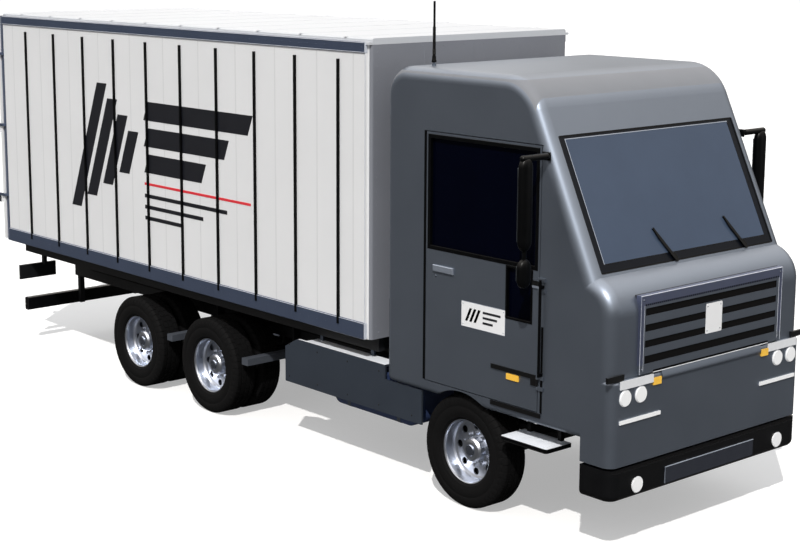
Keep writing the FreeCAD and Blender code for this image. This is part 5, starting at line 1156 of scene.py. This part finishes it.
def makeRearDoors():
    d = rearDoor
    face, door = d["face"], "cargo_door_*"
    bm = bmesh.new()
    for z in d["ribs"]:
        for y0, y1 in ((0.28, 0.84), (0.96, 1.17)):
            addSlab(bm, (face - 0.004, y0, z), (face, y1, z + 0.018), 0.0018, 1)
    keepSides(bm, "rear_door_ribs_*", "boxWhite", "box_white", door)
    bm = bmesh.new()
    y0, y1, z0, z1 = d["inner"] + 0.006, d["outer"] - 0.006, d["low"] + 0.008, d["high"] - 0.008
    corners = [(face + 0.002, y, z) for y, z in ((y0, z0), (y1, z0), (y1, z1), (y0, z1))]
    for a, b in zip(corners, corners[1:] + corners[:1]):
        addTube(bm, [a, b], 0.006, 8)
    keepSides(bm, "rear_door_gasket_*", "blackTrim", "black_plastic", door)
    makeDoorFittings()
    bm = bmesh.new()
    for z in (1.53, 3.62):
        addSlab(bm, (face - 0.003, 1.00, z), (face, 1.14, z + 0.045), 0.001, 1)
    keepSides(bm, "rear_door_reflectors_*", "redLens", "lamp_amber", door)
    bm = bmesh.new()
    addSlab(bm, (-4.7222, -0.26, 0.44), (-4.7202, 0.26, 0.55), 0.001, 1)
    keep(bm, "rear_plate_blank", "placardWhite", "box_white")
    bm = bmesh.new()
    for y0, y1, z0, z1 in ((0.770, 1.175, 0.8705, 0.8735), (0.770, 1.175, 0.9245, 0.9275),
                           (0.8985, 0.9015, 0.853, 0.945), (1.0385, 1.0415, 0.853, 0.945)):
        addSlab(bm, (-4.6985, y0, z0), (-4.6970, y1, z1))
    addMirrored(bm)
    keep(bm, "tail_lamp_lines", "blackTrim", "black_plastic")
    print("rear doors fitted")


# fuel tanks with rounded ends, flat along the bottom, with their straps and filler caps
tank = {"x": (1.330, 2.490), "y": (0.690, 1.175), "z": (0.565, 1.005), "corner": 0.100, "straps": (1.56, 2.26),
        "strapY": (0.6885, 1.1765), "strapZ": (0.5635, 1.0065), "strapCorner": 0.030, "cap": (2.36, 0.80, 1.0045)}


def roundedLoop(low, high, radius, count):
    # points round a rectangle with rounded corners, from its first corner at the far top
    points = []
    for a, b, start in ((high[0], high[1], 0), (low[0], high[1], 90), (low[0], low[1], 180), (high[0], low[1], 270)):
        a += radius if a == low[0] else -radius
        b += radius if b == low[1] else -radius
        for t in (math.radians(start + 90 * k / (count - 1)) for k in range(count)):
            points.append((a + radius * math.cos(t), b + radius * math.sin(t)))
    return points


def makeTanks():
    (x0, x1), (near, far), (z0, z1) = tank["x"], tank["y"], tank["z"]
    bm = bmesh.new()
    rings = []
    for y, inset in ((near, 0.016), (near + 0.006, 0.005), (near + 0.018, 0.0), (far - 0.018, 0.0),
                     (far - 0.006, 0.005), (far, 0.016)):
        loop = roundedLoop((x0 + inset, z0 + inset), (x1 - inset, z1 - inset), tank["corner"] - inset, 9)
        rings.append([bm.verts.new((x, y, z)) for x, z in loop])
    joinRings(bm, rings)
    bm.faces.new(rings[0])
    bm.faces.new(rings[-1])
    # brackets back to the frame rail
    for x in (x0 + 0.2, x1 - 0.2):
        addSlab(bm, (x - 0.025, 0.4305, 0.78), (x + 0.025, near + 0.004, 0.84), 0.004, 1)
    addMirrored(bm)
    keep(bm, "tank_bodies", "tankBlue", "tank_blue", angle=40, insteadOf="fuel_tanks")
    print("fuel tanks made")


def addTankStrap(bm, x):
    # flat band round the fuel tank
    (near, far), (low, high) = tank["strapY"], tank["strapZ"]
    loop = roundedLoop((near, low), (far, high), tank["strapCorner"], 7)
    rings = []
    for dx, lift in ((-0.024, 0), (-0.022, 0.003), (0.022, 0.003), (0.024, 0)):
        ring = []
        for y, z in loop:
            way = Vector((y - (near + far) / 2, z - (low + high) / 2)).normalized() * lift
            ring.append(bm.verts.new((x + dx, y + way.x, z + way.y)))
        rings.append(ring)
    joinRings(bm, rings, True)


# running gear: rail and skirt bolts, spring leaves with their clips, air lines
chassis = {"rail": 0.430, "boltRows": (0.80, 0.965), "bolts": (47, -4.55, 0.19),
           "skirtBolts": (0.72, 1.15, 1.60, 2.05, 2.50),
           "springs": (0.349, 0.431), "airLines": ((0.905, 0.008), (0.880, 0.006)),
           "airClips": (-4.3, -2.6, -0.5, 1.2, 3.6)}


def makeRunningGear():
    c = chassis
    out = (0, 1, 0)
    bm = bmesh.new()
    count, start, pitch = c["bolts"]
    for x in (start + pitch * k for k in range(count)):
        for z in c["boltRows"]:
            addDome(bm, (x, c["rail"], z), out, 0.011, 0.006, 6, 1)
    for x in c["skirtBolts"]:
        for z in (0.70, 1.02):
            addDome(bm, (x, 1.235, z), out, 0.010, 0.003, 12, 2)
    addMirrored(bm)
    keep(bm, "frame_bolts", "frameBlack", "frame_black")
    bm = bmesh.new()
    y0, y1 = c["springs"]
    for z in (0.56 + 0.0135 * k for k in (1, 2, 3)):
        for x0, x1 in ((3.00, 3.075), (3.205, 3.28)):
            addSlab(bm, (x0, y0, z), (x1, y1, z + 0.002))
    y0, y1 = y0 - 0.004, y1 + 0.004
    for x in (3.065, 3.215):
        addTube(bm, [(x, y0, 0.53), (x, y0, 0.632), (x, y1, 0.632), (x, y1, 0.53)], 0.008, 8)
    for x in (-0.78, -0.67, -2.146, -2.036):
        addTube(bm, [(x, y1, 0.58), (x, y1, 0.655)], 0.009, 8)
    addMirrored(bm)
    keep(bm, "spring_clips", "castIron", "driveline")
    # air lines clipped along the rail's outside
    bm = bmesh.new()
    for z, r in c["airLines"]:
        addTube(bm, [(x, 0.431 + r, z) for x in c["airClips"]], r, 8)
    addMirrored(bm)
    keep(bm, "air_lines", "blackTrim", "black_plastic", angle=40)
    bm = bmesh.new()
    for x in tank["straps"]:
        addTankStrap(bm, x)
    addSpun(bm, [(0, 0), (0.052, 0), (0.052, 0.018), (0.046, 0.024), (0, 0.024)], tank["cap"], (0, 0, 1), 24)
    addMirrored(bm)
    keep(bm, "tank_straps", "bareGrey", "bar_grey", angle=35)
    print("running gear trim made")


makeTyres()
makeWheelTrim()
makeScreenTrim()
makePlacards()
makeDecoration()
makeFrontTrim()
makeCabSideTrim()
makeMirrors()
makeAerial()
makeSeats()
makeCabInside()
makeCargoTrim()
makeRearDoors()
makeTanks()
makeRunningGear()

print("truck done")
